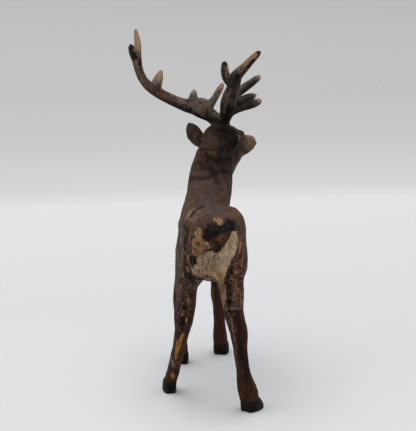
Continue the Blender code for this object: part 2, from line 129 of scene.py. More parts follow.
class Bench:
    """Builds one material's nodes."""

    def __init__(self, name: str) -> None:
        """Starts an empty material.

        Args:
            name: The material's name.
        """
        self.material = bpy.data.materials.new(name)
        self.material.use_nodes = True
        self.tree = self.material.node_tree
        self.tree.nodes.clear()

    def node(
        self,
        kind: str,
        settings: Mapping[str, object],
        sockets: Mapping[Union[str, int], Operand],
        output: Union[str, int] = 0,
    ) -> Signal:
        """Adds one node.

        Args:
            kind: The node's type.
            settings: Its own settings; "stops" gives a colour ramp its places and colours.
            sockets: The values or signals of its inputs, by name or number.
            output: The output that is wanted.

        Returns:
            The signal at that output.
        """
        made = self.tree.nodes.new(kind)
        for name, value in settings.items():
            if name == "stops":
                self._fill_ramp(made.color_ramp, value)
            else:
                setattr(made, name, value)
        for key, value in sockets.items():
            if isinstance(value, Signal):
                self.tree.links.new(value.socket, made.inputs[key])
            else:
                made.inputs[key].default_value = value
        return Signal(self, made.outputs[output])

    @staticmethod
    def _fill_ramp(ramp: bpy.types.ColorRamp, stops: Sequence[tuple[float, Sequence[float]]]) -> None:
        """Sets a ramp's stops.

        Args:
            ramp: The colour ramp.
            stops: The place and the colour of each stop.
        """
        while len(ramp.elements) < len(stops):
            ramp.elements.new(1.0)
        for element, (place, colour) in zip(ramp.elements, stops):
            element.position = place
            element.color = colour

    def close(self, surface: Signal) -> bpy.types.Material:
        """Gives the finished surface to the material's output.

        Args:
            surface: The shader.

        Returns:
            The finished material.
        """
        output = self.tree.nodes.new("ShaderNodeOutputMaterial")
        self.tree.links.new(surface.socket, output.inputs["Surface"])
        return self.material

    def mix(self, share: Operand, first: Operand, second: Operand) -> Signal:
        """Goes from one colour to another.

        Args:
            share: How much of the second colour shows.
            first: The colour at 0.
            second: The colour at 1.

        Returns:
            The mixed colour.
        """
        settings = {"data_type": "RGBA", "blend_type": "MIX"}
        return self.node("ShaderNodeMix", settings, {0: share, 6: first, 7: second}, 2)

    def shade(self, share: Operand, colour: Operand, tint: Operand) -> Signal:
        """Multiplies a colour by a tint, by a share."""
        settings = {"data_type": "RGBA", "blend_type": "MULTIPLY"}
        return self.node("ShaderNodeMix", settings, {0: share, 6: colour, 7: tint}, 2)

    def attribute(self, name: str) -> Signal:
        """The vector that a named attribute carries."""
        return self.node("ShaderNodeAttribute", {"attribute_name": name}, {}, "Vector")

    def channels(self, vector: Signal) -> tuple[Signal, Signal, Signal]:
        """A vector's three numbers."""
        parts = [self.node("ShaderNodeSeparateXYZ", {}, {0: vector}, i) for i in range(3)]
        return parts[0], parts[1], parts[2]

    def noise(self, where: Signal, size: float, detail: float = 2.0, rough: float = 0.5) -> Signal:
        """Cloudy noise.

        Args:
            where: The place, in millimetres.
            size: The size of one cloud, in millimetres.
            detail: How many finer layers lie on it.
            rough: How strong the finer layers are.

        Returns:
            The noise, about 0 to 1.
        """
        sockets = {"Vector": where, "Scale": 1.0 / size, "Detail": detail, "Roughness": rough}
        return self.node("ShaderNodeTexNoise", {}, sockets)

    @staticmethod
    def swing(noise: Signal) -> Signal:
        """Spreads noise to about -1 to 1."""
        return (noise - 0.5) * 4.0

    def ramp(self, share: Signal, tones: Iterable[tuple[float, int, int, int]]) -> Signal:
        """Reads a colour from a row of tones.

        Args:
            share: The place along the row, 0 to 1.
            tones: The places of the tones, each with its red, green and blue.

        Returns:
            The colour.
        """
        stops = [(row[0], paint(*row[1:])) for row in tones]
        return self.node("ShaderNodeValToRGB", {"stops": stops}, {"Fac": share})

    def along(self, where: Signal, way: Signal, reach: float) -> Signal:
        """A place moved along a way by a distance."""
        settings = {"operation": "MULTIPLY_ADD"}
        return self.node("ShaderNodeVectorMath", settings, {0: way, 1: (reach,) * 3, 2: where})

    def drift(self, where: Signal, size: float, reach: float) -> Signal:
        """A place moved about by noise, so that what is drawn there wavers.

        Args:
            where: The place, in millimetres.
            size: The size of one wave, in millimetres.
            reach: How far the noise moves it.

        Returns:
            The moved place.
        """
        sockets = {"Vector": where, "Scale": 1.0 / size, "Detail": 1.0}
        return self.along(where, self.node("ShaderNodeTexNoise", {}, sockets, "Color"), reach)

    def strokes(self, where: Signal, way: Signal, width: float, length: float, taps: int) -> Signal:
        """Noise drawn out along a way, as a brush draws paint.

        Args:
            where: The place, in millimetres.
            way: The direction of the stroke.
            width: How wide a stroke is, in millimetres.
            length: How long it is, in millimetres.
            taps: How many places along the stroke are averaged.

        Returns:
            The strokes, about 0 to 1.
        """
        total: Operand = 0.0
        for i in range(taps):
            reach = (i / (taps - 1) - 0.5) * length
            total = self.noise(self.along(where, way, reach), width, 0.0) + total
        contrast = taps**0.5
        return (total / taps - 0.5) * contrast + 0.5


def paint(red: int, green: int, blue: int) -> Colour:
    """Turns a colour as the eye sees it into the light that a shader counts.

    Args:
        red: Its red, 0 to 255.
        green: Its green.
        blue: Its blue.

    Returns:
        The light's red, green and blue, 0 to 1, with a full alpha.
    """
    values = [v / 255 for v in (red, green, blue)]
    linear = [v / 12.92 if v <= 0.04045 else ((v + 0.055) / 1.055) ** 2.4 for v in values]
    return linear[0], linear[1], linear[2], 1.0


# Where the paint lies, and the painted shade, highlights and sheen.
class Layer(Enum):
    """A coat or mark of paint, some of them painted shade, highlight and sheen, by the attribute and the
    channel that carry its outline.
    """

    CREAM = ("coats", 0)
    TAN = ("coats", 1)
    TAIL = ("coats", 2)
    BLACK = ("chips", 0)
    GOLD = ("chips", 1)
    OCHRE = ("chips", 2)
    # Dark paint, and painted shade in folds, hollows and under the antlers.
    DARK = ("washes", 0)
    # Pale paint, and painted highlights along edges and rims.
    PALE = ("washes", 1)
    # Grey paint along the spine, with painted sheen on the back's top.
    GREY = ("washes", 2)
    HORN = ("ends", 0)
    SCORCH = ("ends", 1)
    EYE = ("ends", 2)
    RUSSET = ("tints", 0)
    SLATE = ("tints", 1)
    WORN = ("tints", 2)
    # A soft dark glaze that is mostly painted shade: in the neck's folds, down its right side, on the nape
    # and under the antlers.
    GLAZE = ("glazes", 0)


@dataclass(frozen=True)
class Outline:
    """A painted area given by its outline seen from behind, as x and z in millimetres.

    It reaches from one place forward to another.
    """

    layer: Layer
    corners: Loop
    reach: Place

    def depth_inside(self, places: Array, skin: BVHTree) -> Array:
        """How far inside the outline each place lies.

        Args:
            places: The places, in millimetres.
            skin: The casting's faces, which an outline has no need of.

        Returns:
            The distances in millimetres, negative outside.
        """
        flat = places[:, (0, 2)]
        nearest = np.full(len(flat), np.inf)
        inside = np.zeros(len(flat), bool)
        for start, end in pieces_of(self.corners + self.corners[:1]):
            nearest = np.minimum(nearest, gap_to_piece(flat, start, end))
            crosses = (start[1] > flat[:, 1]) != (end[1] > flat[:, 1])
            rise = end[1] - start[1] if abs(end[1] - start[1]) > 1e-9 else 1e-9
            level = (flat[:, 1] - start[1]) / rise * (end[0] - start[0]) + start[0]
            inside ^= crosses & (flat[:, 0] < level)
        signed = np.where(inside, nearest, -nearest)
        low, high = self.reach
        return np.minimum(signed, np.minimum(places[:, 1] - low, high - places[:, 1]))


@dataclass(frozen=True)
class Line:
    """A painted line through points, with a width at its start and its end in millimetres."""

    layer: Layer
    points: Track
    widths: Place

    def depth_inside(self, places: Array, skin: BVHTree) -> Array:
        """How far inside the line each place lies.

        Args:
            places: The places, in millimetres.
            skin: The casting's faces, on which the line is laid.

        Returns:
            The distances in millimetres, negative outside.
        """
        deepest = np.full(len(places), -np.inf)
        pieces = list(pieces_of(lay_on_skin(self.points, skin)))
        for i, (start, end) in enumerate(pieces):
            share = (i + 0.5) / len(pieces)
            half = 0.5 * ((1 - share) * self.widths[0] + share * self.widths[1])
            deepest = np.maximum(deepest, half - gap_to_piece(places, start, end))
        return deepest


@dataclass(frozen=True)
class Dab:
    """A rounded dab of paint: its centre and its half sizes, in millimetres."""

    layer: Layer
    centre: Point
    halves: Point

    def depth_inside(self, places: Array, skin: BVHTree) -> Array:
        """How far inside the dab each place lies.

        Args:
            places: The places, in millimetres.
            skin: The casting's faces, which a dab has no need of.

        Returns:
            The distances in millimetres, negative outside.
        """
        halves = np.array(self.halves)
        share = np.linalg.norm((places - np.array(self.centre)) / halves, axis=1)
        return (1 - share) * halves.min()


Mark = Union[Outline, Line, Dab]


def pieces_of(line: Sequence[Sequence[float]]) -> Iterator[tuple[Array, Array]]:
    """The straight pieces of a line, each as its start and its end."""
    corners = [np.array(corner, float) for corner in line]
    return zip(corners, corners[1:])


def lines(layer: Layer, *drawn: tuple[Track, Place]) -> Iterator[Line]:
    """Painted lines of one layer, each given by its points and its widths."""
    return (Line(layer, points, widths) for points, widths in drawn)


def dabs(layer: Layer, *placed: tuple[Point, Point]) -> Iterator[Dab]:
    """Dabs of one layer, each given by its centre and its half sizes."""
    return (Dab(layer, centre, halves) for centre, halves in placed)


def gap_to_piece(places: Array, start: Array, end: Array) -> Array:
    """How far places lie from one straight piece of line.

    Args:
        places: The places.
        start: Where the piece starts.
        end: Where it ends.

    Returns:
        The distances.
    """
    way = end - start
    share = np.clip((places - start) @ way / max(float(way @ way), 1e-9), 0, 1)
    return np.linalg.norm(places - start - share[:, None] * way, axis=1)


def gap_to_line(places: Array, line: Sequence[Array]) -> Array:
    """How far places lie from a line of straight pieces."""
    return np.min([gap_to_piece(places, start, end) for start, end in pieces_of(line)], axis=0)


# A turn that keeps the noise's cells from lining up with the skin's own grid.
GRAIN_TURN = np.array(Matrix.Rotation(0.9, 3, Vector((0.36, 0.48, 0.8))))

# Large numbers that scatter the three counts of a noise cell, its seed and its code.
CELL_SCATTER = (73856093, 19349663, 83492791)
SEED_SCATTER = 6542989
CODE_SCATTER = 1274126177


def lay_on_skin(points: Sequence[Point], skin: BVHTree, steps: int = 5) -> list[Array]:
    """Fills in a line and lays it on the casting.

    Args:
        points: The line's points, in millimetres.
        skin: The casting's faces.
        steps: How many places each piece of the line gets.

    Returns:
        The places on the skin.
    """
    shares = np.arange(steps) / steps
    filled = [start + (end - start) * s for start, end in pieces_of(points) for s in shares]
    filled.append(np.array(points[-1], float))
    return [np.array(skin.find_nearest(Vector(p))[0]) for p in filled]


def lattice_noise(places: Array, size: float, seed: int) -> Array:
    """Smooth noise from -1 to 1 that is the same at each run.

    Args:
        places: The places, in millimetres.
        size: The size of one cell, in millimetres.
        seed: Which noise it is.

    Returns:
        The noise at each place.
    """
    scaled = places @ GRAIN_TURN / size + 1000.0
    cell = np.floor(scaled).astype(np.int64)
    share = scaled - cell
    share = share * share * (3 - 2 * share)
    total = np.zeros(len(places))
    for corner in itertools.product((0, 1), repeat=3):
        here = cell + np.array(corner)
        code = np.bitwise_xor.reduce(here * np.array(CELL_SCATTER), axis=1) ^ seed * SEED_SCATTER
        code = (code ^ (code >> 13)) * CODE_SCATTER & 0x7FFFFFFF
        value = ((code ^ (code >> 15)) & 0xFFFF) / 32767.5 - 1
        weight = np.prod(np.where(np.array(corner) == 1, share, 1 - share), axis=1)
        total += value * weight
    return total


# The way the hair and the brush run, from head to tail and down the limbs.
COMB_LINES: tuple[Track, ...] = (
    ((7, 27, 92), (6, 22, 85), (4, 10, 79), (2, 0, 75), (1, -20, 76), (1, -37, 75)),
    ((10, 20, 66), (11, 0, 62), (12, -14, 62), (14, -24, 60)),
    ((-6, 20, 66), (-10, 0, 62), (-11, -14, 62), (-13, -24, 60)),
    ((1, 20, 42), (1, 0, 45), (1, -14, 48)),
    ((4, -20, 77), (9, -32, 74), (12.5, -38, 68), (12.5, -41, 60), (11, -43, 50), (9, -46, 42)),
    ((9, -46, 42), (10, -46, 30), (12, -44, 14), (13.5, -43, 5)),
    ((-2, -20, 76), (-7, -32, 73.5), (-10.5, -38, 67), (-11, -39, 58), (-10.5, -36, 49), (-10, -33, 40)),
    ((-10, -33, 40), (-10.5, -30, 30), (-12.5, -23, 14), (-14, -17.5, 5)),
    ((11, -20, 70), (14, -24, 60), (13, -27, 50), (10, -37, 42)),
    ((-10, -20, 70), (-12.5, -24, 60), (-12, -25, 50), (-10, -28, 42)),
    ((0.5, -48, 62), (0.5, -46, 54), (1, -42, 50)),
    ((1.2, -38, 75), (1.2, -48, 70), (1.1, -49, 64)),
    ((14, 30, 88), (12, 24, 80), (10, 20, 70), (9, 20, 58)),
    ((2, 34, 88), (0, 26, 80), (-4, 22, 70), (-5, 20, 58)),
    ((15, 35, 84), (10, 33, 76), (4, 33, 66), (2, 34, 54)),
    ((6.5, 17, 60), (8, 19, 44), (8, 22.5, 33), (8.5, 25, 24), (9.2, 28, 13), (10.3, 32.5, 4)),
    ((-5, 15, 60), (-6.5, 16, 44), (-7.7, 16.5, 33), (-7.9, 17, 23), (-8, 18.3, 11.5), (-7.5, 21.3, 4)),
    ((25.8, 49.6, 89), (18, 41.5, 90.5), (10.4, 34, 92), (5, 28.5, 92.5)),
    ((4.4, 35.3, 90), (-0.6, 37.3, 93.4), (-2.6, 38.7, 97.6)),
    ((13.2, 31, 87.4), (15.8, 28, 91), (17, 25.7, 95)),
    ((10, 34, 95), (3.5, 38, 103.4), (-6.4, 39.6, 106.4), (-15.4, 40, 111), (-22, 39.3, 117)),
    ((-22, 39.3, 117), (-24, 38.5, 125), (-24, 41, 130), (-24, 45, 137)),
    ((-24, 39, 124.6), (-26.7, 34.1, 131.5)),
    ((-16.6, 39.8, 111.6), (-13.7, 45.1, 119.5)),
    ((-1.1, 38.7, 105.4), (-0.2, 42.7, 111.6)),
    ((3.6, 37.7, 103.8), (8.4, 40.7, 108.6), (12.2, 46.3, 113.9)),
    ((11, 32.5, 95), (12, 27.7, 103.8), (12.4, 18, 112.4), (13, 6, 119)),
    ((13, 6, 119), (16, -2, 125.8), (21.4, -6.7, 132.8)),
    ((12.2, 3.5, 118.6), (8.4, -2, 123.7), (7.7, -6, 128.6)),
    ((12.6, 13.5, 113), (25.2, 24, 119)),
    ((12.4, 23, 107.4), (24.4, 32, 110.6)),
    ((12, 27, 104.4), (19.4, 30.5, 106.3), (27.2, 37.5, 107.7)),
)

# The rump patch, the tail and what is worn off them, seen from behind.
RUMP_CREAM: Loop = (
    (-5.8, 71.9), (-6.9, 70.5), (-7.4, 68.2), (-8.0, 65.2), (-8.1, 60.8), (-6.9, 60.5), (-6.2, 59.0),
    (-7.6, 57.4), (-8.0, 55.5), (-7.4, 53.4), (-5.9, 52.6), (-4.4, 52.3), (-2.8, 53.7), (-0.3, 53.4),
    (1.2, 52.0), (2.6, 48.5), (3.2, 46.4), (3.5, 43.3), (3.8, 40.7), (5.2, 40.5), (5.3, 44.2),
    (4.9, 46.7), (4.6, 49.3), (4.2, 51.7), (4.6, 54.8), (5.6, 57.3), (6.3, 60.1), (7.9, 62.1),
    (8.6, 64.3), (9.1, 67.0), (8.9, 69.8), (7.3, 70.6), (2.0, 71.5), (-4.0, 71.7),
)
LEFT_TAN: Loop = (
    (-5.8, 71.9), (-7.1, 70.5), (-7.4, 68.2), (-8.0, 65.2), (-8.1, 60.8), (-6.3, 61.3), (-4.5, 63.4),
    (-3.0, 65.4), (-3.4, 67.6), (-4.4, 69.2), (-5.0, 71.1),
)
RIGHT_TAN: Loop = (
    (6.6, 70.0), (7.6, 70.2), (7.9, 68.0), (7.2, 65.5), (6.2, 63.5), (5.6, 65.0), (6.2, 67.5),
)
LOW_TAN: Loop = (
    (2.6, 55.0), (3.9, 53.5), (4.4, 50.0), (5.0, 46.0), (4.8, 41.0), (3.8, 41.0), (3.2, 46.4), (1.4, 52.0),
)
TAIL_OUTLINE: Loop = (
    (-3.9, 72.4), (-4.5, 70.6), (-4.4, 69.2), (-3.4, 67.4), (-2.2, 67.2), (-1.8, 66.2), (-1.1, 64.7),
    (0.1, 63.6), (1.2, 63.4), (2.3, 64.2), (3.5, 66.0), (4.4, 67.2), (5.5, 67.9), (6.2, 69.3),
    (6.8, 70.2), (8.1, 70.5), (7.9, 72.5), (5.0, 74.6), (2.3, 75.0), (-2.1, 74.5),
)
TAIL_BLACK: Loop = (
    (-2.1, 73.6), (-0.7, 74.3), (0.2, 73.3), (1.8, 73.1), (3.3, 73.1), (4.1, 74.1), (5.7, 74.4),
    (7.4, 73.8), (8.3, 72.4), (8.2, 70.7), (6.8, 70.3), (6.2, 70.7), (4.7, 70.9), (3.6, 70.2),
    (2.8, 70.6), (1.4, 70.0), (0.7, 69.7), (-0.6, 69.0), (-1.4, 68.8), (-1.5, 68.0), (-2.0, 67.3),
    (-3.4, 67.4), (-4.4, 69.2), (-3.6, 70.2), (-4.0, 71.4), (-2.9, 72.3),
)
TAIL_TIP_BLACK: Loop = ((-1.2, 65.1), (-0.3, 65.2), (1.2, 64.8), (2.1, 64.5), (1.3, 63.2), (-0.1, 63.2))
TAIL_OCHRE: Loop = (
    (0.6, 68.4), (1.2, 69.3), (2.5, 70.0), (3.7, 70.3), (3.8, 69.8), (2.7, 69.1), (1.4, 68.2),
)
GOLD_CHIP: Loop = (
    (-0.2, 76.0), (3.6, 76.0), (3.5, 74.6), (3.1, 73.7), (2.8, 73.1),
    (2.2, 73.3), (1.6, 73.4), (0.9, 74.3), (0.1, 74.6),
)
HAUNCH_BLACK: Loop = (
    (-8.6, 61.2), (-7.6, 62.0), (-6.6, 61.3), (-6.2, 59.4),
    (-7.2, 57.7), (-8.0, 57.1), (-8.6, 59.0), (-9.1, 60.1),
)
HOCK_BLACK: Loop = (
    (5.4, 44.9), (6.6, 44.8), (6.8, 43.7), (6.1, 42.5), (4.9, 41.9), (4.8, 43.0), (5.1, 44.2),
)

# Every mark of paint, painted shade and painted highlight, part by part. The outlines lie on the rear only,
# between two places forward.
PAINTWORK: tuple[Mark, ...] = (
    Outline(Layer.CREAM, RUMP_CREAM, (-60, -34)),
    Outline(Layer.TAN, LEFT_TAN, (-60, -34)),
    Outline(Layer.TAN, RIGHT_TAN, (-60, -34)),
    Outline(Layer.TAN, LOW_TAN, (-60, -34)),
    Outline(Layer.TAIL, TAIL_OUTLINE, (-60, -37)),
    Outline(Layer.BLACK, TAIL_BLACK, (-60, -40.6)),
    Outline(Layer.BLACK, TAIL_TIP_BLACK, (-60, -38)),
    Outline(Layer.OCHRE, TAIL_OCHRE, (-60, -38)),
    Outline(Layer.GOLD, GOLD_CHIP, (-60, -41.7)),
    Outline(Layer.BLACK, HAUNCH_BLACK, (-60, -34)),
    Outline(Layer.BLACK, HOCK_BLACK, (-60, -34)),
    # The tail's dark line, and the crack between the tan and the cream.
    *lines(
        Layer.DARK,
        (((-0.6, -49.6, 68.6), (0.6, -50.3, 67), (1.1, -50.4, 65.4)), (1.5, 2.3)),
        (((-6.8, -45.5, 60.4), (-4.6, -47.2, 62.8), (-3.1, -47.9, 63.9), (-1.6, -48.2, 64.7)), (0.3, 1.3)),
        (((-8, -43, 67), (-8.3, -42.6, 63), (-8.3, -42.5, 60.6)), (0.5, 0.7)),
    ),
    Dab(Layer.BLACK, (-1.9, -48, 64.3), (0.7, 1, 0.4)),
    # Chips and scrapes on the croup and the haunches.
    *dabs(
        Layer.BLACK,
        ((-3.3, -25.9, 75.9), (1.9, 4, 2)),
        ((-5.9, -46.5, 66.3), (0.5, 0.8, 0.5)),
        ((-6.9, -46, 64.1), (0.5, 0.8, 0.4)),
        ((-7.2, -44.6, 68.7), (0.4, 0.8, 0.5)),
    ),
    *lines(
        Layer.BLACK,
        (((-3.6, -20, 74.8), (-1.1, -22.9, 76.2), (0.4, -24.6, 76.6)), (2.2, 1.2)),
        (((-7.6, -34.8, 74.2), (-6.7, -33.7, 74.8), (-5.6, -31.9, 75.2)), (1.3, 1.9)),
        (((-10, -36.7, 70.4), (-9.3, -39.8, 69.4)), (0.6, 0.5)),
        (((-12.2, -30, 66.6), (-12, -33, 64.4), (-12.3, -33.6, 62.4)), (0.3, 0.8)),
        (((-11.2, -37, 69.6), (-10.4, -38.6, 70.4), (-9.6, -38.8, 71.4)), (0.4, 0.6)),
    ),
    *lines(
        Layer.PALE,
        (((-9.3, -33.5, 73.1), (-7.7, -31.2, 74.6), (-6.9, -26, 74.6), (-5.2, -20, 74.4)), (0.9, 1.3)),
        (((-8, -35.9, 73.4), (-6.3, -34.6, 74.7), (-4.3, -32.9, 75.6)), (0.7, 0.9)),
        (((-8.6, -37.6, 72.6), (-7, -36.6, 74.2)), (0.4, 0.4)),
        (((-11.7, -35.6, 64.4), (-11.4, -34.6, 67.4), (-11, -34.4, 69.9)), (0.7, 0.8)),
        (((-10.6, -38.4, 63.4), (-10.4, -38.2, 66.6)), (0.4, 0.4)),
        (((-12, -28.7, 65.4), (-11.2, -38.3, 63.7), (-10, -42, 60.7), (-8.9, -42.4, 57.6)), (0.35, 0.5)),
        (((-12.4, -35.4, 60.2), (-11.8, -37.5, 56.4), (-10.8, -39.1, 52.8)), (0.3, 0.5)),
        (((-9.4, -43, 63.6), (-9.2, -42.8, 60), (-8.9, -42.4, 55.4)), (0.3, 0.2)),
    ),
    *lines(
        Layer.DARK,
        (((-8.6, -36.6, 72.7), (-7.9, -39, 72.2), (-7.2, -41.8, 71.5)), (0.9, 0.7)),
        (((-10.2, -35.7, 70.8), (-9.1, -40.1, 69.8), (-9.5, -40.6, 68)), (2.2, 1.8)),
        (((-11.9, -31, 64.2), (-11.1, -39, 62.3), (-10, -42, 59.2)), (0.1, 0.4)),
        (((-12.3, -31, 65), (-12.5, -33.5, 61.5)), (0.8, 0.8)),
        (((-9.9, -39, 67), (-9.6, -41, 62), (-9.6, -40, 54), (-9.4, -38, 48)), (1.2, 1.6)),
    ),
    Line(Layer.OCHRE, ((10.1, -33.6, 75.5), (9.8, -37.6, 74.2)), (0.9, 0.9)),
    *dabs(
        Layer.SLATE,
        ((-12, -33, 63), (3, 6, 6.5)),
        ((11.6, -39.3, 70.3), (2.6, 3, 2.2)),
        ((-0.6, -47.5, 59), (5, 4, 3.6)),
    ),
    Line(Layer.SLATE, ((2.2, -42, 76.6), (1.6, -32, 77.4), (1.2, -22, 76.6)), (2.6, 3)),
    Line(Layer.WORN, ((-11.6, -36, 68), (-11.4, -37.4, 58), (-11, -38, 50)), (3.4, 4.4)),
    # The right haunch: rusty brown, flecked with black beside the patch.
    Line(Layer.RUSSET, ((9.2, -44.4, 67), (10.1, -43.6, 61), (9.6, -43, 55), (8.8, -41.6, 49)), (4, 6)),
    *lines(
        Layer.WORN,
        (((6, -46.4, 61), (5.7, -45.8, 56), (6.2, -42, 51), (6.6, -43, 47.6)), (1.6, 3)),
        (((9.4, -46, 45), (9, -47.6, 42.6)), (4, 3)),
        (((11.6, -41.6, 59), (11.7, -39, 52), (11, -42, 46)), (1, 1.6)),
        (((3.6, -43, 51), (4, -43.6, 46), (4.5, -45, 41)), (1, 3.4)),
    ),
    Line(Layer.DARK, ((4, -44, 47), (4.5, -45, 43), (4.6, -46, 40)), (0.6, 3)),
    *dabs(
        Layer.BLACK,
        ((11.7, -37.3, 51), (0.7, 2, 0.8)),
        ((5.8, -47.6, 40.8), (0.7, 1.5, 0.6)),
    ),
    # The arch between the legs, below the patch.
    Dab(Layer.RUSSET, (-1.2, -46.4, 55), (2, 3, 2.4)),
    Line(Layer.DARK, ((-6.8, -42, 53.4), (-5, -43, 52.6), (-2.8, -45, 54.2), (-0.4, -46, 53.8)), (0.7, 0.6)),
    # The pale line along the patch's lower edge is a painted highlight.
    *lines(
        Layer.PALE,
        (((-3, -44.2, 52.6), (-1.4, -45.4, 52.9), (0.6, -45.2, 52.7)), (0.8, 0.6)),
        (((-5.9, -40.8, 51.4), (-5.7, -40.2, 49.8)), (0.5, 0.4)),
    ),
    *dabs(
        Layer.BLACK,
        ((-5.1, -41, 51.6), (0.8, 1.6, 0.8)),
        ((-8.1, -41, 52.4), (0.8, 1.6, 1.3)),
    ),
    Dab(Layer.DARK, (-7.8, -41, 51.5), (2, 3, 2.6)),
    Dab(Layer.GOLD, (-9.7, -41.3, 55.7), (0.75, 1, 0.9)),
    # The left hind leg: scrapes through to the metal, black in the hollows.
    Dab(Layer.WORN, (-9.8, -37.5, 46), (4.4, 6, 9)),
    Line(Layer.WORN, ((-10.6, -36.5, 38), (-11.2, -34, 31), (-12.3, -29.5, 22), (-13.7, -24, 13)), (4.6, 4)),
    Dab(Layer.RUSSET, (-10.4, -36.5, 36.4), (2.2, 2, 1.4)),
    Dab(Layer.BLACK, (-10.1, -36.9, 39.6), (0.9, 1.4, 1.1)),
    *lines(
        Layer.BLACK,
        (((-11.1, -36.1, 34.6), (-11.1, -35.2, 32)), (1.8, 1.6)),
        (((-11.1, -35, 31.4), (-11, -33.6, 29.2)), (0.9, 1.2)),
    ),
    *lines(
        Layer.GOLD,
        (((-10.5, -32.6, 27.7), (-11.4, -31.3, 25.2), (-12.1, -30.1, 23)), (0.9, 2)),
        (((-12.1, -30.1, 23), (-12.6, -28.2, 19.5), (-12.8, -26.1, 16)), (2, 0.8)),
        (((-9.4, -36.3, 35.3), (-9.4, -35.9, 33.4)), (0.9, 0.6)),
        (((-11.2, -36.4, 36.5), (-9.9, -36.7, 36.6)), (0.7, 0.5)),
    ),
    # A pale line down the lower leg's outer edge: a painted highlight.
    Line(Layer.PALE, ((-14.5, -24.9, 16.3), (-13.9, -24.4, 14.2), (-13.5, -24, 12.6)), (0.8, 0.8)),
    Dab(Layer.GOLD, (-13.8, -21.8, 8), (0.9, 1.3, 1.5)),
    Line(Layer.RUSSET, ((-13.8, -31, 39), (-13.6, -31.6, 34), (-13.4, -31, 30)), (1, 1.4)),
    # The right hind leg: painted shade in the hollow behind the hock, with a painted highlight on the
    # hollow's upper rim and down the leg's left edge, and rust above the hoof.
    Dab(Layer.DARK, (8.4, -49.4, 38.6), (2, 3, 3.4)),
    *lines(
        Layer.DARK,
        (((9.7, -49.6, 35.5), (9.9, -49.2, 31.6)), (0.9, 0.2)),
        (((12.2, -46.8, 18.3), (12.5, -46.8, 13.8)), (1, 1.8)),
    ),
    *lines(
        Layer.PALE,
        (((6, -48.6, 41.9), (8, -49.2, 42.8), (10.2, -48.4, 42)), (0.6, 0.6)),
        (((6.4, -49.4, 38), (7.2, -49, 32.4), (8.2, -47.4, 25.6), (8.8, -46.2, 18.6)), (0.45, 0.1)),
    ),
    Line(Layer.OCHRE, ((4.8, -47.4, 40.2), (5.8, -48, 39.9)), (0.8, 0.6)),
    Line(Layer.GLAZE, ((11.9, -46.8, 20.3), (12.2, -46.8, 13.3)), (1.6, 3.2)),
    *lines(
        Layer.RUSSET,
        (((13.9, -46.4, 13.6), (14.2, -46.3, 9.4), (11.6, -46, 8)), (3.6, 5)),
        (((10.4, -46.4, 16), (10.4, -46, 9)), (1.4, 2.4)),
    ),
    # The fore legs.
    Line(Layer.OCHRE, ((5.4, 20.6, 31.5), (5.9, 22.2, 26.3), (6.3, 24.5, 21.7)), (1.6, 0.8)),
    *dabs(
        Layer.RUSSET,
        ((9.2, 27, 8.6), (5, 5, 4.6)),
        ((-7.8, 18.6, 9), (5, 5, 4.6)),
    ),
    # The neck: painted shade in its folds and down its right side, dark on the nape partly as paint and
    # partly as painted shade, and a fleck of ochre behind the ear.
    *lines(
        Layer.GLAZE,
        (((2.9, 20.6, 87.8), (5.1, 18.2, 86.1), (7.1, 17.6, 85.4), (11, 20, 86)), (1, 3)),
        (((-3.6, 21.7, 77.8), (-0.4, 11.3, 79.6), (1.9, 9.8, 80.3), (4, 10, 80.6)), (0.1, 1.4)),
        (((13.8, 22.5, 86), (13.6, 21.6, 81.6), (13.2, 19, 77.8), (12.8, 16, 74.2), (12.6, 15, 70)), (3, 2)),
        (((3.8, 18.9, 86), (4.6, 15.2, 83.4), (5.4, 11.6, 81.2), (6.2, 8, 79.4)), (3, 2.4)),
        (((8, 20, 89), (8.6, 18, 85), (9.4, 15, 80.6), (11, 12, 75)), (6, 3)),
        (((12.6, 24, 90), (12.9, 22, 85), (12.6, 19, 80), (12.6, 15, 72)), (6, 3)),
        (((5.4, 29, 97.4), (8.4, 27.4, 96.6), (11.4, 28.4, 96.2), (15.2, 31, 95.4)), (3.6, 5)),
        (((9.8, 25.4, 95.2), (12.6, 26.8, 94.4), (15.6, 30.6, 93.8)), (2.8, 3)),
    ),
    *lines(
        Layer.DARK,
        (((13.6, 22, 84.5), (13.4, 20.9, 81.4), (13, 18, 77.8), (12.6, 15.3, 74.2)), (1.4, 1.2)),
        (((22.2, 42.6, 85.6), (23.6, 44, 86), (24.8, 44.9, 86.6)), (0.5, 0.7)),
        (((6.8, 28.5, 97.6), (9.3, 27.9, 96.8), (12.3, 28.6, 96.2), (15, 31.7, 95.3)), (2.4, 3.2)),
        (((6, 28.6, 97.4), (8.8, 27.6, 96.6), (11.4, 28.8, 96.4), (13.6, 30.2, 95.8)), (1.6, 2.6)),
    ),
    Dab(Layer.SLATE, (-2, 36.4, 93.4), (4.6, 4, 4.6)),
    Line(Layer.PALE, ((19.6, 38.4, 84.2), (18, 36.3, 82.4), (16, 33.4, 80.4)), (1.8, 1)),
    Dab(Layer.RUSSET, (-3, 19, 80.5), (3, 6, 2.4)),
    Line(Layer.OCHRE, ((5.9, 20.2, 88.9), (6.6, 19.6, 88)), (0.9, 0.6)),
    # The back: a grey stripe along the spine, partly grey paint and partly painted sheen on its top.
    Line(Layer.GREY, ((3, 4, 77.5), (1.8, -8, 75.5), (1.2, -24, 77), (1.4, -36, 75.6)), (5, 6.5)),
    # The face: a pale muzzle with ochre at its corner, a dark chin, the eyes and the ears; the right ear's
    # hollow is dark, partly dark paint and partly painted shade, with a small painted highlight in it.
    Dab(Layer.PALE, (23.6, 46, 89.8), (6, 6, 4.8)),
    *lines(
        Layer.PALE,
        (((22, 41.4, 87.2), (21.3, 39.4, 89), (19.6, 36.6, 91.6)), (1.8, 1)),
        (((16.9, 25.6, 94.9), (17.3, 26.8, 94.2), (17.9, 29.1, 92.8)), (1, 1.3)),
    ),
    *dabs(
        Layer.OCHRE,
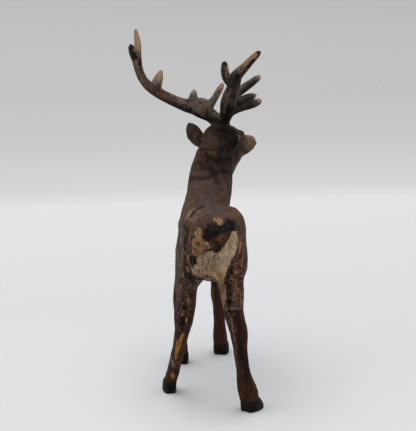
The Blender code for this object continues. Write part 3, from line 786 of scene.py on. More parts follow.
        ((25.6, 45.4, 87.2), (2.4, 3.4, 2.2)),
        ((-0.6, 36.2, 92.6), (0.4, 0.9, 0.5)),
    ),
    *dabs(
        Layer.RUSSET,
        ((23.8, 44.8, 91), (3.4, 3.4, 2.6)),
        ((15.6, 33.2, 82), (2, 2.4, 2.4)),
        ((-1.6, 36, 93), (2.6, 3, 2.6)),
    ),
    *lines(
        Layer.DARK,
        (((23.6, 43.4, 84.4), (21.4, 41.4, 84), (18.6, 38.6, 83.4), (17, 34, 82.4)), (2.2, 1.4)),
        (((15, 25.2, 90.4), (15.3, 25, 91.8), (15.8, 24.8, 93), (16.3, 24.8, 94.2)), (2.6, 2)),
        (((14.6, 25.6, 90.4), (14.9, 25.7, 92.4), (16.4, 25, 94)), (1.6, 2)),
        (((16.8, 24.4, 93.1), (17.4, 30, 90.8), (17.9, 34.2, 89)), (1.8, 2)),
        (((12.1, 22.4, 89.2), (13.6, 23.6, 87.6), (13.4, 22.4, 85)), (2.2, 1.6)),
        (((20.9, 37.8, 90.6), (20.8, 38.6, 88.6)), (1.3, 1)),
    ),
    Line(Layer.BLACK, ((14.9, 25.5, 91.2), (15.3, 25.4, 93), (16, 25.2, 94)), (0.9, 0.9)),
    # The first dab: a small painted highlight in the right ear's hollow.
    *dabs(
        Layer.SLATE,
        ((14.2, 25, 89.1), (0.8, 1.2, 0.7)),
        ((-0.6, 37, 94), (4.5, 4, 5)),
    ),
    Line(Layer.RUSSET, ((18.4, 34, 93.6), (19.2, 35.4, 90.2), (18.6, 35.4, 87.6)), (1.8, 2.2)),
    *dabs(
        Layer.EYE,
        ((20.6, 36.8, 91.6), (1.25, 1.25, 1.05)),
        ((13.6, 43.8, 91.6), (1.25, 1.25, 1.05)),
    ),
    Dab(Layer.DARK, (17, 33.4, 88), (3, 3, 3.4)),
    # The antlers: rust along the left beam, and dark under both, partly dark paint and partly painted shade.
    *lines(
        Layer.PALE,
        (((-24.8, 37.4, 124.4), (-23.6, 37.4, 120), (-21.8, 37.6, 115.6)), (1.4, 1.6)),
        (((10.5, 23.7, 104.9), (10.9, 19.1, 108.8), (11.1, 13.1, 112.9), (11.2, 3, 117.4)), (1, 1.2)),
        (((15.2, 21.8, 107.4), (14.6, 16, 112), (14.4, 8, 116)), (0.8, 1.2)),
        (((9.6, -1.6, 120.6), (8.4, -4.4, 124), (8, -6.6, 126.4)), (0.9, 0.9)),
    ),
    *lines(
        Layer.RUSSET,
        (((-24.4, 37.6, 120), (-22, 38, 115.5), (-17.4, 38.6, 111.2)), (1.6, 1.4)),
        (((-16, 37.8, 110.6), (-12.6, 37.8, 108.6), (-9.4, 37.6, 106.6)), (1.8, 1.2)),
        (((12.9, 23.1, 105), (12.8, 18.4, 108.9), (12.6, 12.6, 112.5)), (0.7, 0.7)),
    ),
    Dab(Layer.DARK, (-15.6, 39.8, 113.4), (1.2, 2, 0.9)),
    *lines(
        Layer.GLAZE,
        (
            ((-13, 37.8, 108), (-8.1, 37.4, 105.6), (-4, 37.2, 103.2), (0.5, 36.8, 100.6), (5, 34, 98.2)),
            (1.2, 3.2),
        ),
        (((16.6, 13.5, 113.6), (19.4, 15.6, 115.2), (22.6, 19.8, 117.2)), (3.4, 3)),
        (((12.4, 23, 107), (17, 26.4, 108.4), (20.6, 29, 109.6)), (8.4, 7.4)),
        (((12.6, 27, 103.8), (18.4, 30, 105.6), (22, 33, 106.4)), (8.4, 7.4)),
        (((4, 38, 103), (7, 34.6, 100), (10, 31, 98.6)), (2, 5)),
    ),
    *lines(
        Layer.DARK,
        (((9.3, 19, 111), (9.3, 22.5, 107), (10.2, 25.6, 102.6), (10.6, 28.6, 98.6)), (0.7, 1.2)),
        (((17.2, 14.2, 113.8), (19.4, 16.2, 115.4), (21.6, 18.8, 116.9)), (2.6, 2.2)),
        (((14.6, 1.4, 119.6), (18, -1.6, 124.6), (20.2, -4, 129)), (1.8, 1.2)),
        (((15.4, 22.4, 107.4), (17.8, 24, 108.2), (21.5, 27.4, 109.4)), (2.6, 2)),
        (((15, 26, 103.6), (19.4, 28.6, 105.4), (23, 32, 106.4)), (2.6, 1.8)),
        (((13.2, 12.6, 111.4), (18, 16.6, 113.4), (22.6, 20.8, 116.2)), (2, 1.4)),
    ),
)

# The ends of the antlers: the tip, then how far the pale horn and the scorched point reach down.
TINE_ENDS: tuple[tuple[Point, float, float], ...] = (
    ((-24.3, 45.1, 137.0), 11.0, 0.8),
    ((-26.7, 34.1, 131.5), 3.0, 2.0),
    ((-13.7, 45.1, 119.5), 6.6, 0.5),
    ((-0.2, 42.7, 111.6), 3.0, 0.4),
    ((12.2, 46.3, 113.9), 5.0, 0.5),
    ((21.4, -6.7, 132.8), 12.0, 1.7),
    ((7.7, -6.1, 128.6), 6.0, 1.8),
    ((25.2, 24.1, 119.2), 3.0, 0.9),
    ((24.4, 32.1, 110.6), 3.0, 1.3),
    ((27.2, 37.5, 107.7), 4.6, 1.0),
)

# Places where the outline stands out further: the middle, the reach and the move, in millimetres.
SWELLINGS: tuple[tuple[Point, float, Point], ...] = (
    ((0.4, 26.0, 87.0), 8.0, (-0.7, 0.0, 0.0)),
    ((-1.8, 25.0, 79.0), 8.0, (-0.6, 0.0, 0.0)),
    ((12.6, -38.0, 54.0), 9.0, (0.8, 0.0, 0.0)),
    ((12.2, -40.0, 46.0), 7.0, (0.5, 0.0, 0.0)),
    ((22.6, 42.0, 86.6), 5.0, (0.5, 0.0, -0.9)),
    ((-3.0, 38.0, 103.4), 6.0, (0.0, 0.0, -0.6)),
    ((1.8, 36.5, 101.6), 5.5, (-0.4, 0.0, -1.0)),
    ((-2.6, 37.0, 97.0), 4.5, (0.0, 0.0, 1.0)),
    ((0.8, 36.3, 95.8), 4.0, (0.8, 0.0, 0.7)),
)

# Folds of the hide: points near them, width and depth in millimetres; below 0 it is a ridge.
HIDE_FOLDS: tuple[tuple[Track, float, float], ...] = (
    (((2.9, 20.6, 87.8), (5.1, 18.2, 86.1), (7.1, 17.6, 85.4), (11, 20, 86.0), (14, 26, 86.4)), 0.8, 0.35),
    (((-3.6, 21.7, 77.8), (-0.4, 11.3, 79.6), (1.9, 9.8, 80.3), (5.0, 10, 80.8)), 1.3, 0.2),
    (((1.0, 22, 84), (3.4, 15, 82.6), (6.0, 12.4, 82.2)), 0.7, 0.22),
    (((6.6, 12.0, 83.4), (10.4, 14.4, 82.6), (13.2, 19, 80.4)), 0.8, 0.3),
    (((3.2, 19.0, 86), (4.2, 15.2, 83.4), (4.9, 11.6, 81.2)), 0.7, 0.25),
    (((-0.5, 24, 90), (2.4, 22, 90.6), (5.0, 20.6, 90.2)), 0.7, 0.2),
    (((-5.8, -38, 73.6), (-7.2, -41, 70.4), (-8.0, -43, 66)), 0.9, -0.2),
    (((-4.6, -46, 71.5), (-4.9, -46.2, 69.4), (-3.2, -47.6, 67)), 0.5, 0.2),
    (((6.4, -45.6, 57), (6.8, -44, 52), (6.6, -44, 46)), 0.7, 0.35),
    (((-9.9, -40, 68), (-9.6, -41, 60), (-9.4, -39, 52)), 0.7, 0.22),
    (((6.5, -48.6, 40.6), (8.0, -49.6, 41.6), (10, -48, 41.0)), 0.7, 0.3),
    (((8.6, -49.6, 39), (9.0, -47, 33), (10.6, -45, 22)), 0.9, 0.3),
    (((-10.2, -36.2, 37), (-10.8, -34, 30), (-12.2, -28, 18)), 0.7, 0.25),
    (((-2.9, -48, 65.2), (-4.5, -47.4, 63.4), (-6.3, -46.4, 61.2), (-7.0, -45, 59.8)), 0.4, 0.16),
)


class Zone(Enum):
    """A part of the figure: the axis that bounds it, where it starts and where it is full, in millimetres."""

    RIGHT_SIDE = (0, -1.0, 5.0)
    HAUNCHES = (1, -8.0, -42.0)
    MUZZLE = (1, 31.0, 34.0)
    NOSE = (1, 39.0, 43.0)
    HOOVES = (2, 5.0, 4.5)
    LEGS = (2, 42.0, 34.0)
    ABOVE_HOCKS = (2, 46.0, 52.0)
    ARCH = (2, 54.0, 47.0)
    PATCH_FOOT = (2, 60.0, 57.0)
    BACK = (2, 62.0, 72.0)
    PATCH_TOP = (2, 67.5, 71.0)
    BELOW_CROUP = (2, 74.0, 66.0)
    NECK = (2, 76.0, 88.0)
    ABOVE_THROAT = (2, 78.0, 80.0)
    BELOW_BROW = (2, 97.0, 95.0)
    ANTLERS = (2, 97.6, 99.4)


@dataclass(frozen=True)
class ColdPaint:
    """The finish: layers of cold paint over bronze, brushed on, rubbed and chipped, with painted shade and
    highlights among them.

    A stroke is its width and length in millimetres and its number of taps. A grain is the size of its
    clouds in millimetres, its finer layers and their strength.
    """

    name: str = "painted_bronze"
    hide: Tones = (
        (0.0, 20, 15, 13), (0.22, 38, 28, 24), (0.5, 76, 57, 48), (0.75, 104, 80, 67), (1.0, 152, 121, 101),
    )
    leg: Tones = (
        (0.0, 16, 11, 10), (0.3, 38, 24, 19), (0.6, 62, 37, 27), (0.85, 92, 58, 42), (1.0, 128, 92, 72),
    )
    antler: Tones = ((0.0, 22, 19, 18), (0.3, 52, 45, 41), (0.6, 100, 87, 76), (1.0, 140, 123, 106))
    patch: Tones = ((0.0, 56, 43, 33), (0.25, 104, 84, 66), (0.55, 142, 118, 94), (1.0, 188, 164, 136))
    # Dark brown, for paint and for painted shade and shadow.
    umber_and_shade: Colour = paint(26, 19, 17)
    grey: Colour = paint(96, 90, 88)
    stone: Colour = paint(128, 118, 106)
    fawn: Colour = paint(154, 114, 84)
    dun: Colour = paint(146, 112, 88)
    russet: Colour = paint(112, 76, 52)
    tan: Colour = paint(156, 112, 74)
    tail: Colour = paint(90, 58, 46)
    black: Colour = paint(5, 4, 4)
    scratch: Colour = paint(92, 88, 84)
    bronze: Colour = paint(104, 78, 46)
    brass: Colour = paint(190, 164, 122)
    amber: Colour = paint(172, 120, 46)
    ochre: Colour = paint(100, 76, 36)
    pale: Colour = paint(150, 126, 112)
    horn: Colour = paint(196, 176, 152)
    hoof: Colour = paint(24, 19, 17)
    chestnut: Colour = paint(66, 42, 32)
    blush_tint: Colour = (1.2, 0.9, 0.78, 1.0)
    rust_tint: Colour = (1.26, 0.84, 0.64, 1.0)
    leg_rust_tint: Colour = (1.4, 0.9, 0.66, 1.0)
    patch_rust_tint: Colour = (1.0, 0.7, 0.58, 1.0)
    stain_tint: Colour = (0.7, 0.64, 0.58, 1.0)
    waver: Place = (2.6, 3.2)
    fine: Stroke = (0.5, 2.4, 6)
    broad: Stroke = (1.3, 5.0, 5)
    fleck: Stroke = (0.6, 1.1, 3)
    cloud: Grain = (6.0, 3.0, 0.5)
    blotch: Grain = (2.4, 3.0, 0.6)
    mottle: Grain = (1.1, 3.0, 0.65)
    grit: Grain = (0.42, 2.0, 0.6)
    ragged: Grain = (0.8, 3.0, 0.7)
    rust_cloud: Grain = (4.0, 2.0, 0.5)
    loss: Grain = (0.9, 2.0, 0.7)
    relief: float = 0.16

    def build(self) -> bpy.types.Material:
        """Makes the material.

        Returns:
            The finished material.
        """
        bench = Bench(self.name)
        work = Brushwork(bench, self)
        work.brush_hide()
        work.redden_legs()
        work.paint_antlers()
        work.paint_patch()
        work.paint_tail()
        work.draw_marks()
        work.chip()
        work.paint_hooves()
        work.gild()
        return bench.close(work.surface())


class Brushwork:
    """One coat of paint after another on the stag's skin: where each lies, and the colour so far."""

    def __init__(self, bench: Bench, finish: ColdPaint) -> None:
        """Reads the skin, and lays out the noise that every coat is brushed with.

        Args:
            bench: The material's workbench.
            finish: The colours and the sizes of the noise.
        """
        self.bench = bench
        self.finish = finish
        world = bench.node("ShaderNodeTexCoord", {}, {}, "Object")
        self.where = bench.node("ShaderNodeVectorMath", {"operation": "SCALE"}, {0: world, "Scale": 1 / MM})
        self.axes = bench.channels(self.where)
        normal = bench.node("ShaderNodeNewGeometry", {}, {}, "Normal")
        self.facing_up = bench.channels(normal)[2]
        self.hair, self.lock, self.fold = bench.channels(bench.attribute("hide"))
        way = bench.attribute("comb")
        drifted = bench.drift(self.where, *finish.waver)
        self.fine = bench.swing(bench.strokes(drifted, way, *finish.fine))
        self.broad = bench.swing(bench.strokes(drifted, way, *finish.broad))
        self.fleck = bench.swing(bench.strokes(drifted, way, *finish.fleck))
        self.cloud = self.grain(finish.cloud)
        self.blotch = self.grain(finish.blotch)
        self.mottle = self.grain(finish.mottle)
        self.grit = self.grain(finish.grit)
        self.ragged = self.grain(finish.ragged)
        names = sorted({layer.value[0] for layer in Layer})
        self.areas = {name: bench.channels(bench.attribute(name)) for name in names}

        self.on_antler = self.zone(Zone.ANTLERS)
        self.low = self.zone(Zone.LEGS, self.cloud * 3.0 + self.broad * 1.5)
        self.cream = self.coat(Layer.CREAM, 0.12, 0.5)
        self.tail = self.coat(Layer.TAIL, 0.12, 0.35)
        self.black = self.coat(Layer.BLACK, 0.12, 0.75)
        self.eye = self.coat(Layer.EYE, 0.12, 0.0)
        self.worn = self.coat(Layer.WORN, 1.4, 1.4)
        rust = (0.55 + self.broad * 0.4 + self.mottle * 0.2).step(0.0, 1.0)
        self.rusted = self.coat(Layer.RUSSET, 1.6, 1.2) * rust
        self.cooled = self.coat(Layer.SLATE, 1.6, 1.2) * (self.blotch + self.broad * 0.6).step(-0.5, 0.5)
        self.rubbed = (self.fleck * 0.7 + self.mottle * 0.6).step(0.5, 0.85) * (0.07 + self.worn * 0.34)
        soot = self.fleck * 0.5 + self.blotch * 0.6 + self.mottle * 0.4
        self.sooty = soot.step(-0.35, -0.7) * (0.12 + self.worn * 0.8)
        haunch = self.zone(Zone.HAUNCHES, self.cloud * 4.0)
        self.streaked = self.zone(Zone.ABOVE_HOCKS) * self.zone(Zone.BELOW_CROUP) * haunch
        calm = self.zone(Zone.BACK).most(1.0 - haunch) * 0.62
        # The tone is lighter on raised hair and locks and darker in the folds: partly dry-brushed paint,
        # partly painted highlight and shade on the relief.
        brushed = self.fine * 0.2 + self.broad * 0.18 + self.mottle * 0.13 + self.hair * 0.07
        brushed = brushed * (1.0 + self.rusted * 0.5 + self.streaked * 0.5 - self.low * 0.3)
        tone = 0.5 + brushed * (1.0 - calm) + self.blotch * 0.06 + self.cloud * 0.1
        self.tone = tone + self.lock * 0.06 - self.fold * 0.35
        self.colour = bench.ramp(self.tone - self.zone(Zone.NECK) * 0.15, finish.hide)

    def grain(self, sizes: Grain) -> Signal:
        """Noise of one grain all over the skin, about -1 to 1."""
        return self.bench.swing(self.bench.noise(self.where, *sizes))

    def zone(self, zone: Zone, waver: Operand = 0.0) -> Signal:
        """How far into a part of the figure a place lies.

        Args:
            zone: The part.
            waver: What moves its border, in millimetres.

        Returns:
            The share, 0 outside and 1 inside.
        """
        axis, start, full = zone.value
        return (self.axes[axis] + waver).step(start, full)

    def coat(self, layer: Layer, soft: float, fray: float, shift: float = 0.0) -> Signal:
        """How much of a layer shows.

        Args:
            layer: The layer.
            soft: Half the width of its edge, in millimetres.
            fray: How far the ragged noise moves the edge.
            shift: How far the whole edge lies further out.

        Returns:
            The share, held between 0 and 1.
        """
        name, channel = layer.value
        edge = self.areas[name][channel] + self.ragged * fray + shift
        return edge.step(-soft, soft)

    def lay(self, share: Operand, colour: Operand) -> None:
        """Lays a share of another colour over the paint so far."""
        self.colour = self.bench.mix(share, self.colour, colour)

    def brush_hide(self) -> None:
        """Brushes the hide: worn and flecked on the haunches, and grey along the spine, partly grey paint and
        partly painted sheen.
        """
        bench, finish = self.bench, self.finish
        blush = (self.cloud * 0.6 + self.blotch * 0.5 - self.broad * 0.2).step(-0.3, 0.7)
        self.colour = bench.shade(blush * 0.8, self.colour, finish.blush_tint)
        self.colour = bench.shade(self.rusted * 0.8, self.colour, finish.rust_tint)
        self.lay(self.cooled * 0.7, bench.shade(0.6, finish.grey, self.colour))
        self.lay(self.rubbed, bench.mix(self.worn * 0.6, finish.pale, finish.dun))
        self.lay(self.sooty, finish.black)
        streaked = self.streaked * (self.blotch + self.cloud).step(-0.6, 0.2)
        self.lay((self.fine + self.mottle * 0.3).step(0.3, 0.7) * streaked * 0.32, finish.dun)
        self.lay((self.fine + self.grit * 0.3).step(-0.3, -0.7) * streaked * 0.75, finish.black)
        # The grey stripe along the spine: grey paint with painted sheen on the back's top.
        self.lay(self.coat(Layer.GREY, 2.2, 0.6) * 0.55, bench.shade(0.5, finish.grey, self.colour))

    def redden_legs(self) -> None:
        """Makes the legs redder and darker towards the hooves."""
        bench, finish = self.bench, self.finish
        leg = bench.ramp(self.tone + self.rubbed * 0.5 - self.sooty * 0.5, finish.leg)
        leg = bench.shade(self.rusted * 0.8, leg, finish.leg_rust_tint)
        self.lay(self.low * (1.0 - self.worn * 0.6), leg)

    def paint_antlers(self) -> None:
        """Paints the antlers grey-brown, darker underneath, partly dark paint and partly painted shade, rusty
        in places, pale towards the ends.
        """
        bench, finish = self.bench, self.finish
        tone = 0.5 + self.broad * 0.18 + self.mottle * 0.05 + self.fine * 0.09 + self.cloud * 0.14
        # Darker where the antler faces down: painted shade on the undersides, partly over dark paint.
        shaded_underside = (self.facing_up + self.mottle * 0.1 + self.broad * 0.15).step(0.02, -0.5)
        horn = bench.ramp(tone - shaded_underside * 0.42, finish.antler)
        rusty = self.grain(finish.rust_cloud).step(0.25, 0.7) * 0.55
        rusty = rusty.most(self.coat(Layer.RUSSET, 0.7, 0.7) * 0.8)
        horn = bench.mix(rusty * (1.0 - shaded_underside * 0.4), horn, finish.russet)
        ends = self.coat(Layer.HORN, 1.8, 0.9) * (0.8 + self.fine * 0.3 - shaded_underside * 0.75).step(0.0, 0.9)
        horn = bench.mix(ends, horn, bench.shade(0.8, finish.horn, bench.ramp(tone + 0.3, finish.patch)))
        horn = bench.mix(self.coat(Layer.SCORCH, 0.4, 0.2) * 0.9, horn, finish.umber_and_shade)
        self.lay(self.on_antler, horn)

    def paint_patch(self) -> None:
        """Paints the pale rump patch: lighter on the right as a painted highlight, darker at the top on the
        left as painted shade, tanned, stained and specked, with a dark rim that is partly dark paint and
        partly a painted shadow at the thick paint's edge.
        """
        bench, finish = self.bench, self.finish
        # The patch's right side is painted lighter as a highlight, and its top on the left darker as painted
        # shade; lighter hair and darker folds are painted light and shade on the relief.
        right = self.zone(Zone.RIGHT_SIDE)
        chalk = 0.58 + self.fine * 0.3 + self.broad * 0.14 + self.mottle * 0.12 + self.grit * 0.1
        chalk = chalk + self.blotch * 0.2 + self.hair * 0.06 - self.fold * 0.3
        chalk = chalk + right * 0.26 - self.zone(Zone.PATCH_TOP) * (1.0 - right) * 0.24
        patch = bench.ramp(chalk, finish.patch)
        patch = bench.mix(self.coat(Layer.TAN, 0.9, 1.1) * 0.7, patch, bench.shade(0.6, finish.tan, patch))
        rusty_foot = self.rusted * self.zone(Zone.PATCH_FOOT) * 0.6
        patch = bench.shade(rusty_foot, patch, finish.patch_rust_tint)
        patch = bench.mix(self.cooled * 0.5, patch, bench.shade(0.6, finish.stone, patch))
        stain = self.cloud * 0.7 + self.blotch * 0.8 + self.broad * 0.2 + self.mottle * 0.2
        patch = bench.shade(stain.step(0.1, -0.6) * 0.5, patch, finish.stain_tint)
        specks = ((self.grit * 0.8 - self.mottle * 0.7).step(0.75, 1.05) * 0.75).most(self.sooty * 0.8)
        flecks = (self.ragged * 0.8 + self.grit * 0.5).step(0.15, 0.6) * self.zone(Zone.ARCH) * 0.8
        patch = bench.mix(specks.most(flecks), patch, finish.umber_and_shade)
        # A dark rim just outside the cream: partly dark paint, partly a painted shadow at the thick paint's
        # edge.
        rim = self.coat(Layer.CREAM, 0.3, 0.5, 0.4) * (0.5 + self.blotch * 0.6).step(0.0, 1.0)
        self.lay(rim * 0.75, finish.umber_and_shade)
        self.lay(self.cream, patch)

    def paint_tail(self) -> None:
        """Paints the tail."""
        brushing = 0.58 + self.fine * 0.2 + self.blotch * 0.26 + self.grit * 0.1 - self.cloud * 0.1
        brown = self.bench.mix(brushing.step(0.1, 1.0), self.finish.umber_and_shade, self.finish.tail)
        self.lay(self.tail, brown)

    def draw_marks(self) -> None:
        """Draws the dark, pale, ochre and black marks, with a warm and softer pale on the muzzle; many dark
        marks are painted shade and some pale ones painted highlights.
        """
        bench, finish = self.bench, self.finish
        # The soft glaze: mostly painted shade in folds, down the neck's right side, on the nape and under the
        # antlers.
        shade_glazed = self.coat(Layer.GLAZE, 1.8, 0.5) * (0.7 + self.on_antler * 0.24)
        self.lay(shade_glazed, bench.mix(self.on_antler * 0.8, finish.umber_and_shade, finish.black))
        self.lay(self.coat(Layer.DARK, 0.7, 0.8) * 0.72, finish.umber_and_shade)

        on_muzzle = self.zone(Zone.ABOVE_THROAT) * self.zone(Zone.BELOW_BROW) * self.zone(Zone.MUZZLE)
        # Pale marks: pale paint on the muzzle, painted highlights along edges and rims elsewhere.
        soft, crisp = self.coat(Layer.PALE, 2.4, 1.2, -0.6), self.coat(Layer.PALE, 0.4, 0.6)
        brushing = (0.62 + self.fine * 0.3 + self.mottle * 0.14).step(0.0, 1.0)
        pale = crisp + (soft - crisp) * on_muzzle
        self.pale = pale * brushing * (0.85 - self.on_antler * 0.5)
        warm = (self.zone(Zone.NOSE) * (0.7 + self.mottle * 0.4 + self.blotch * 0.4)).step(0.0, 1.0)
        self.lay(self.pale, bench.mix(warm * on_muzzle, finish.pale, finish.fawn))

        self.lay(self.coat(Layer.OCHRE, 0.5, 0.5) * 0.7, finish.ochre)
        nicks = (self.grit * 0.9 + self.ragged * 0.5).step(0.35, 0.8) * (0.3 + self.tail * 0.6)
        self.lay(self.black * 0.96, bench.mix(nicks, finish.black, finish.scratch))

    def chip(self) -> None:
        """Scatters small losses all over, most on the haunches and legs and none on the antlers."""
        chipped = self.grain(self.finish.loss).step(0.62, 0.8)
        chipped = chipped * (self.cloud + self.broad * 0.5).step(-0.2, 0.4)
        self.loss = chipped * (1.0 - self.on_antler) * (1.0 - self.tail) * (1.0 - self.cream * 0.4)
        self.lay(self.loss * 0.8, self.finish.black)

    def paint_hooves(self) -> None:
        """Paints the hooves dark, with worn and scratched flecks."""
        bench, finish = self.bench, self.finish
        warm = (self.blotch + self.mottle * 0.4).step(0.0, 0.9) * 0.4
        scratched = (self.grit * 0.8 + self.ragged * 0.5).step(0.4, 0.9) * 0.4
        claw = bench.mix(scratched, bench.mix(warm, finish.hoof, finish.chestnut), finish.scratch)
        self.lay(self.zone(Zone.HOOVES, self.mottle * 0.2), claw)

    def gild(self) -> None:
        """Bares the bright metal in the deepest chips, yellower on the legs, and blacks the eyes."""
        bench, finish = self.bench, self.finish
        gilt = (self.grit * 0.2 + self.mottle * 0.2 + self.fine * 0.4 + self.low * 0.1).step(-0.6, -0.25)
        self.gold = self.coat(Layer.GOLD, 0.14, 0.35) * gilt
        bright = (self.fine * 0.6 + self.grit * 0.4 + self.ragged * 0.3).step(-0.1, 0.9)
        yellow = (self.fine * 0.6 + self.mottle * 0.6).step(-0.55, 0.35)
        metal = bench.mix(bright, finish.bronze, finish.brass)
        metal = bench.mix(self.low, metal, bench.mix(yellow, finish.bronze, finish.amber))
        self.lay(self.gold, metal)
        self.lay(self.eye, finish.black)

    def surface(self) -> Signal:
        """Makes the paint's surface from the colour, the sheen and the relief of its coats.

        Returns:
            The shader.
        """
        rough = 0.62 + self.mottle * 0.06 - self.fine * 0.04 + self.cream * 0.16
        rough = rough - self.gold * 0.2 - self.black * 0.12 - self.eye * 0.4
        relief = self.fine * 0.22 + self.broad * 0.15 + self.grit * 0.12 + self.mottle * 0.24
        relief = relief - self.black * 0.6 - self.loss * 0.5 - self.gold * 0.5
        relief = relief + self.cream * 0.4 + self.pale * 0.4 - self.sooty * 0.3
        raised = {"Height": relief, "Strength": 1.0, "Distance": self.finish.relief * MM}
        sockets = {
            "Base Color": self.colour,
            "Roughness": rough,
            "Metallic": self.gold * 0.4,
            "IOR": 1.16,
            "Coat Weight": self.eye * 0.3,
            "Coat Roughness": 0.08,
            "Normal": self.bench.node("ShaderNodeBump", {}, raised),
        }
        return self.bench.node("ShaderNodeBsdfPrincipled", {}, sockets)


@dataclass
class StagCasting:
    """The stag, cast in one piece: its solid's form with the hide modelled on it.

    Lengths are in millimetres. A tuft is its width, its length and which noise it is. The hair is lower
    on the hooves and on the antlers.
    """

    node: str = "stag"
    name: str = "stag_casting"
    grain: float = 0.5
    smoothing: int = 3
    hair_depth: float = 0.11
    hair_tuft: Stroke = (1.0, 5.0, 11)
    lock_depth: float = 0.16
    lock_tuft: Stroke = (2.4, 12.0, 23)
    dent_depth: float = 0.14
    dent_size: float = 5.0
    dent_noise: int = 37
    comb_softness: float = 2.0
    fold_depth: float = 0.35
    antler_foot: float = 100.0
    antler_rise: float = 4.0
    antler_growth: float = 0.34
    antler_hair: float = 0.4
    hoof_top: float = 4.0
    hoof_rise: float = 3.0
    hoof_hair: float = 0.15
    tuft_taps: int = 9
    tuft_limit: float = 1.5
    paint_reach: float = 8.0
    folds: tuple[tuple[Track, float, float], ...] = HIDE_FOLDS
    swellings: tuple[tuple[Point, float, Point], ...] = SWELLINGS
    paintwork: tuple[Mark, ...] = PAINTWORK
    tine_ends: tuple[tuple[Point, float, float], ...] = TINE_ENDS

    def build(self) -> bpy.types.Object:
        """Models and paints the casting.

        Returns:
            The finished piece, riding on the figure's one body.
        """
        obj = self._fine_copy()
        fold = self._press_folds(obj)
        self._fill_out(obj)
        self._comb_hide(obj, fold)
        self._lay_out_paint(obj)
        obj.data.materials.clear()
        obj.data.materials.append(ColdPaint().build())
        obj.data.shade_smooth()
        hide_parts(self.node)
        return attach(obj, "root")

    def _fine_copy(self) -> bpy.types.Object:
        """Copies the solid, closes it and gives it a fine even skin.

        Returns:
            The copy, as a new object at the origin.
        """
        bm = bmesh.new()
        bm.from_mesh(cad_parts[self.node].data)
        bmesh.ops.remove_doubles(bm, verts=bm.verts, dist=0.001 * MM)
        mesh = bpy.data.meshes.new(self.name)
        bm.to_mesh(mesh)
        bm.free()
        obj = bpy.data.objects.new(self.name, mesh)
        bpy.context.scene.collection.objects.link(obj)
        remesh = obj.modifiers.new("even_skin", "REMESH")
        remesh.mode = "VOXEL"
        remesh.voxel_size = self.grain * MM
        soften = obj.modifiers.new("soften", "SMOOTH")
        soften.factor = 0.5
        soften.iterations = self.smoothing
        graph = bpy.context.evaluated_depsgraph_get()
        skin = bpy.data.meshes.new_from_object(obj.evaluated_get(graph))
        obj.modifiers.clear()
        obj.data = skin
        return obj

    @staticmethod
    def _read(obj: bpy.types.Object) -> tuple[Array, Array]:
        """Reads a mesh.

        Args:
            obj: The object.

        Returns:
            Its vertices in millimetres and their outward directions.
        """
        mesh = obj.data
        places = np.zeros(len(mesh.vertices) * 3)
        mesh.vertices.foreach_get("co", places)
        outward = np.array([n.vector for n in mesh.vertex_normals])
        return places.reshape(-1, 3) / MM, outward

    @staticmethod
    def _move(obj: bpy.types.Object, places: Array) -> None:
        """Puts a mesh's vertices at new places, none below the floor.

        Args:
            obj: The object.
            places: The new places, in millimetres.
        """
        places[:, 2] = np.maximum(places[:, 2], 0.0)
        obj.data.vertices.foreach_set("co", (places * MM).ravel())
        obj.data.update()

    @staticmethod
    def _write(obj: bpy.types.Object, name: str, values: Array) -> None:
        """Stores three numbers for each vertex under a name."""
        stored = obj.data.attributes.new(name, "FLOAT_VECTOR", "POINT")
        stored.data.foreach_set("vector", values.astype(np.float32).ravel())

    @staticmethod
    def _skin(obj: bpy.types.Object, places: Array) -> BVHTree:
        """The casting's faces, ready to find the nearest place on them."""
        faces = [list(p.vertices) for p in obj.data.polygons]
        return BVHTree.FromPolygons(places.tolist(), faces)

    def _press_folds(self, obj: bpy.types.Object) -> Array:
        """Presses the folds of the hide along lines laid on the skin.

        Args:
            obj: The casting.

        Returns:
            How deep each vertex was pressed, in millimetres.
        """
        places, outward = self._read(obj)
        skin = self._skin(obj, places)
        sunk = np.zeros(len(places))
        for points, width, depth in self.folds:
            near = gap_to_line(places, lay_on_skin(points, skin))
            sunk += depth * np.exp(-((near / width) ** 2))
        self._move(obj, places - outward * sunk[:, None])
        return sunk

    def _fill_out(self, obj: bpy.types.Object) -> None:
        """Gives the antlers back the thickness that smoothing took, and fills the outline out.

        Args:
            obj: The casting.
        """
        places, outward = self._read(obj)
        share = np.clip((places[:, 2] - self.antler_foot) / self.antler_rise, 0.0, 1.0)
        moved = places + outward * (self.antler_growth * share)[:, None]
        for middle, reach, move in self.swellings:
            near = np.clip(1.0 - np.linalg.norm(places - np.array(middle), axis=1) / reach, 0.0, 1.0)
            moved += (near * near * (3.0 - 2.0 * near))[:, None] * np.array(move)
        self._move(obj, moved)

    def _comb_hide(self, obj: bpy.types.Object, fold: Array) -> None:
        """Finds the way the hair runs, and raises the hair and its locks along it.

        Args:
            obj: The casting.
            fold: How deep each vertex lies in a fold, in millimetres.
        """
        places, outward = self._read(obj)
        way = np.zeros_like(places)
        for start, end in itertools.chain.from_iterable(pieces_of(line) for line in COMB_LINES):
            pull = 1 / (gap_to_piece(places, start, end) ** 2 + self.comb_softness) ** 2
            way += pull[:, None] * (end - start) / np.linalg.norm(end - start)
        way -= outward * np.sum(way * outward, axis=1)[:, None]
        way /= np.linalg.norm(way, axis=1)[:, None] + 1e-9
        self._write(obj, "comb", way)

        height = places[:, 2]
        hairy = np.clip((height - self.hoof_top) / self.hoof_rise, self.hoof_hair, 1.0)
        hairy *= np.clip((self.antler_foot - height) / self.antler_rise, self.antler_hair, 1.0)
        hair = self._drawn_out(places, way, *self.hair_tuft)
        lock = self._drawn_out(places, way, *self.lock_tuft)
        raised = self.hair_depth * hair + self.lock_depth * lock
        raised += self.dent_depth * lattice_noise(places, self.dent_size, self.dent_noise)
        self._move(obj, places + outward * (raised * hairy)[:, None])
        self._write(obj, "hide", np.stack([hair, lock, np.clip(fold / self.fold_depth, -1, 1)], axis=1))

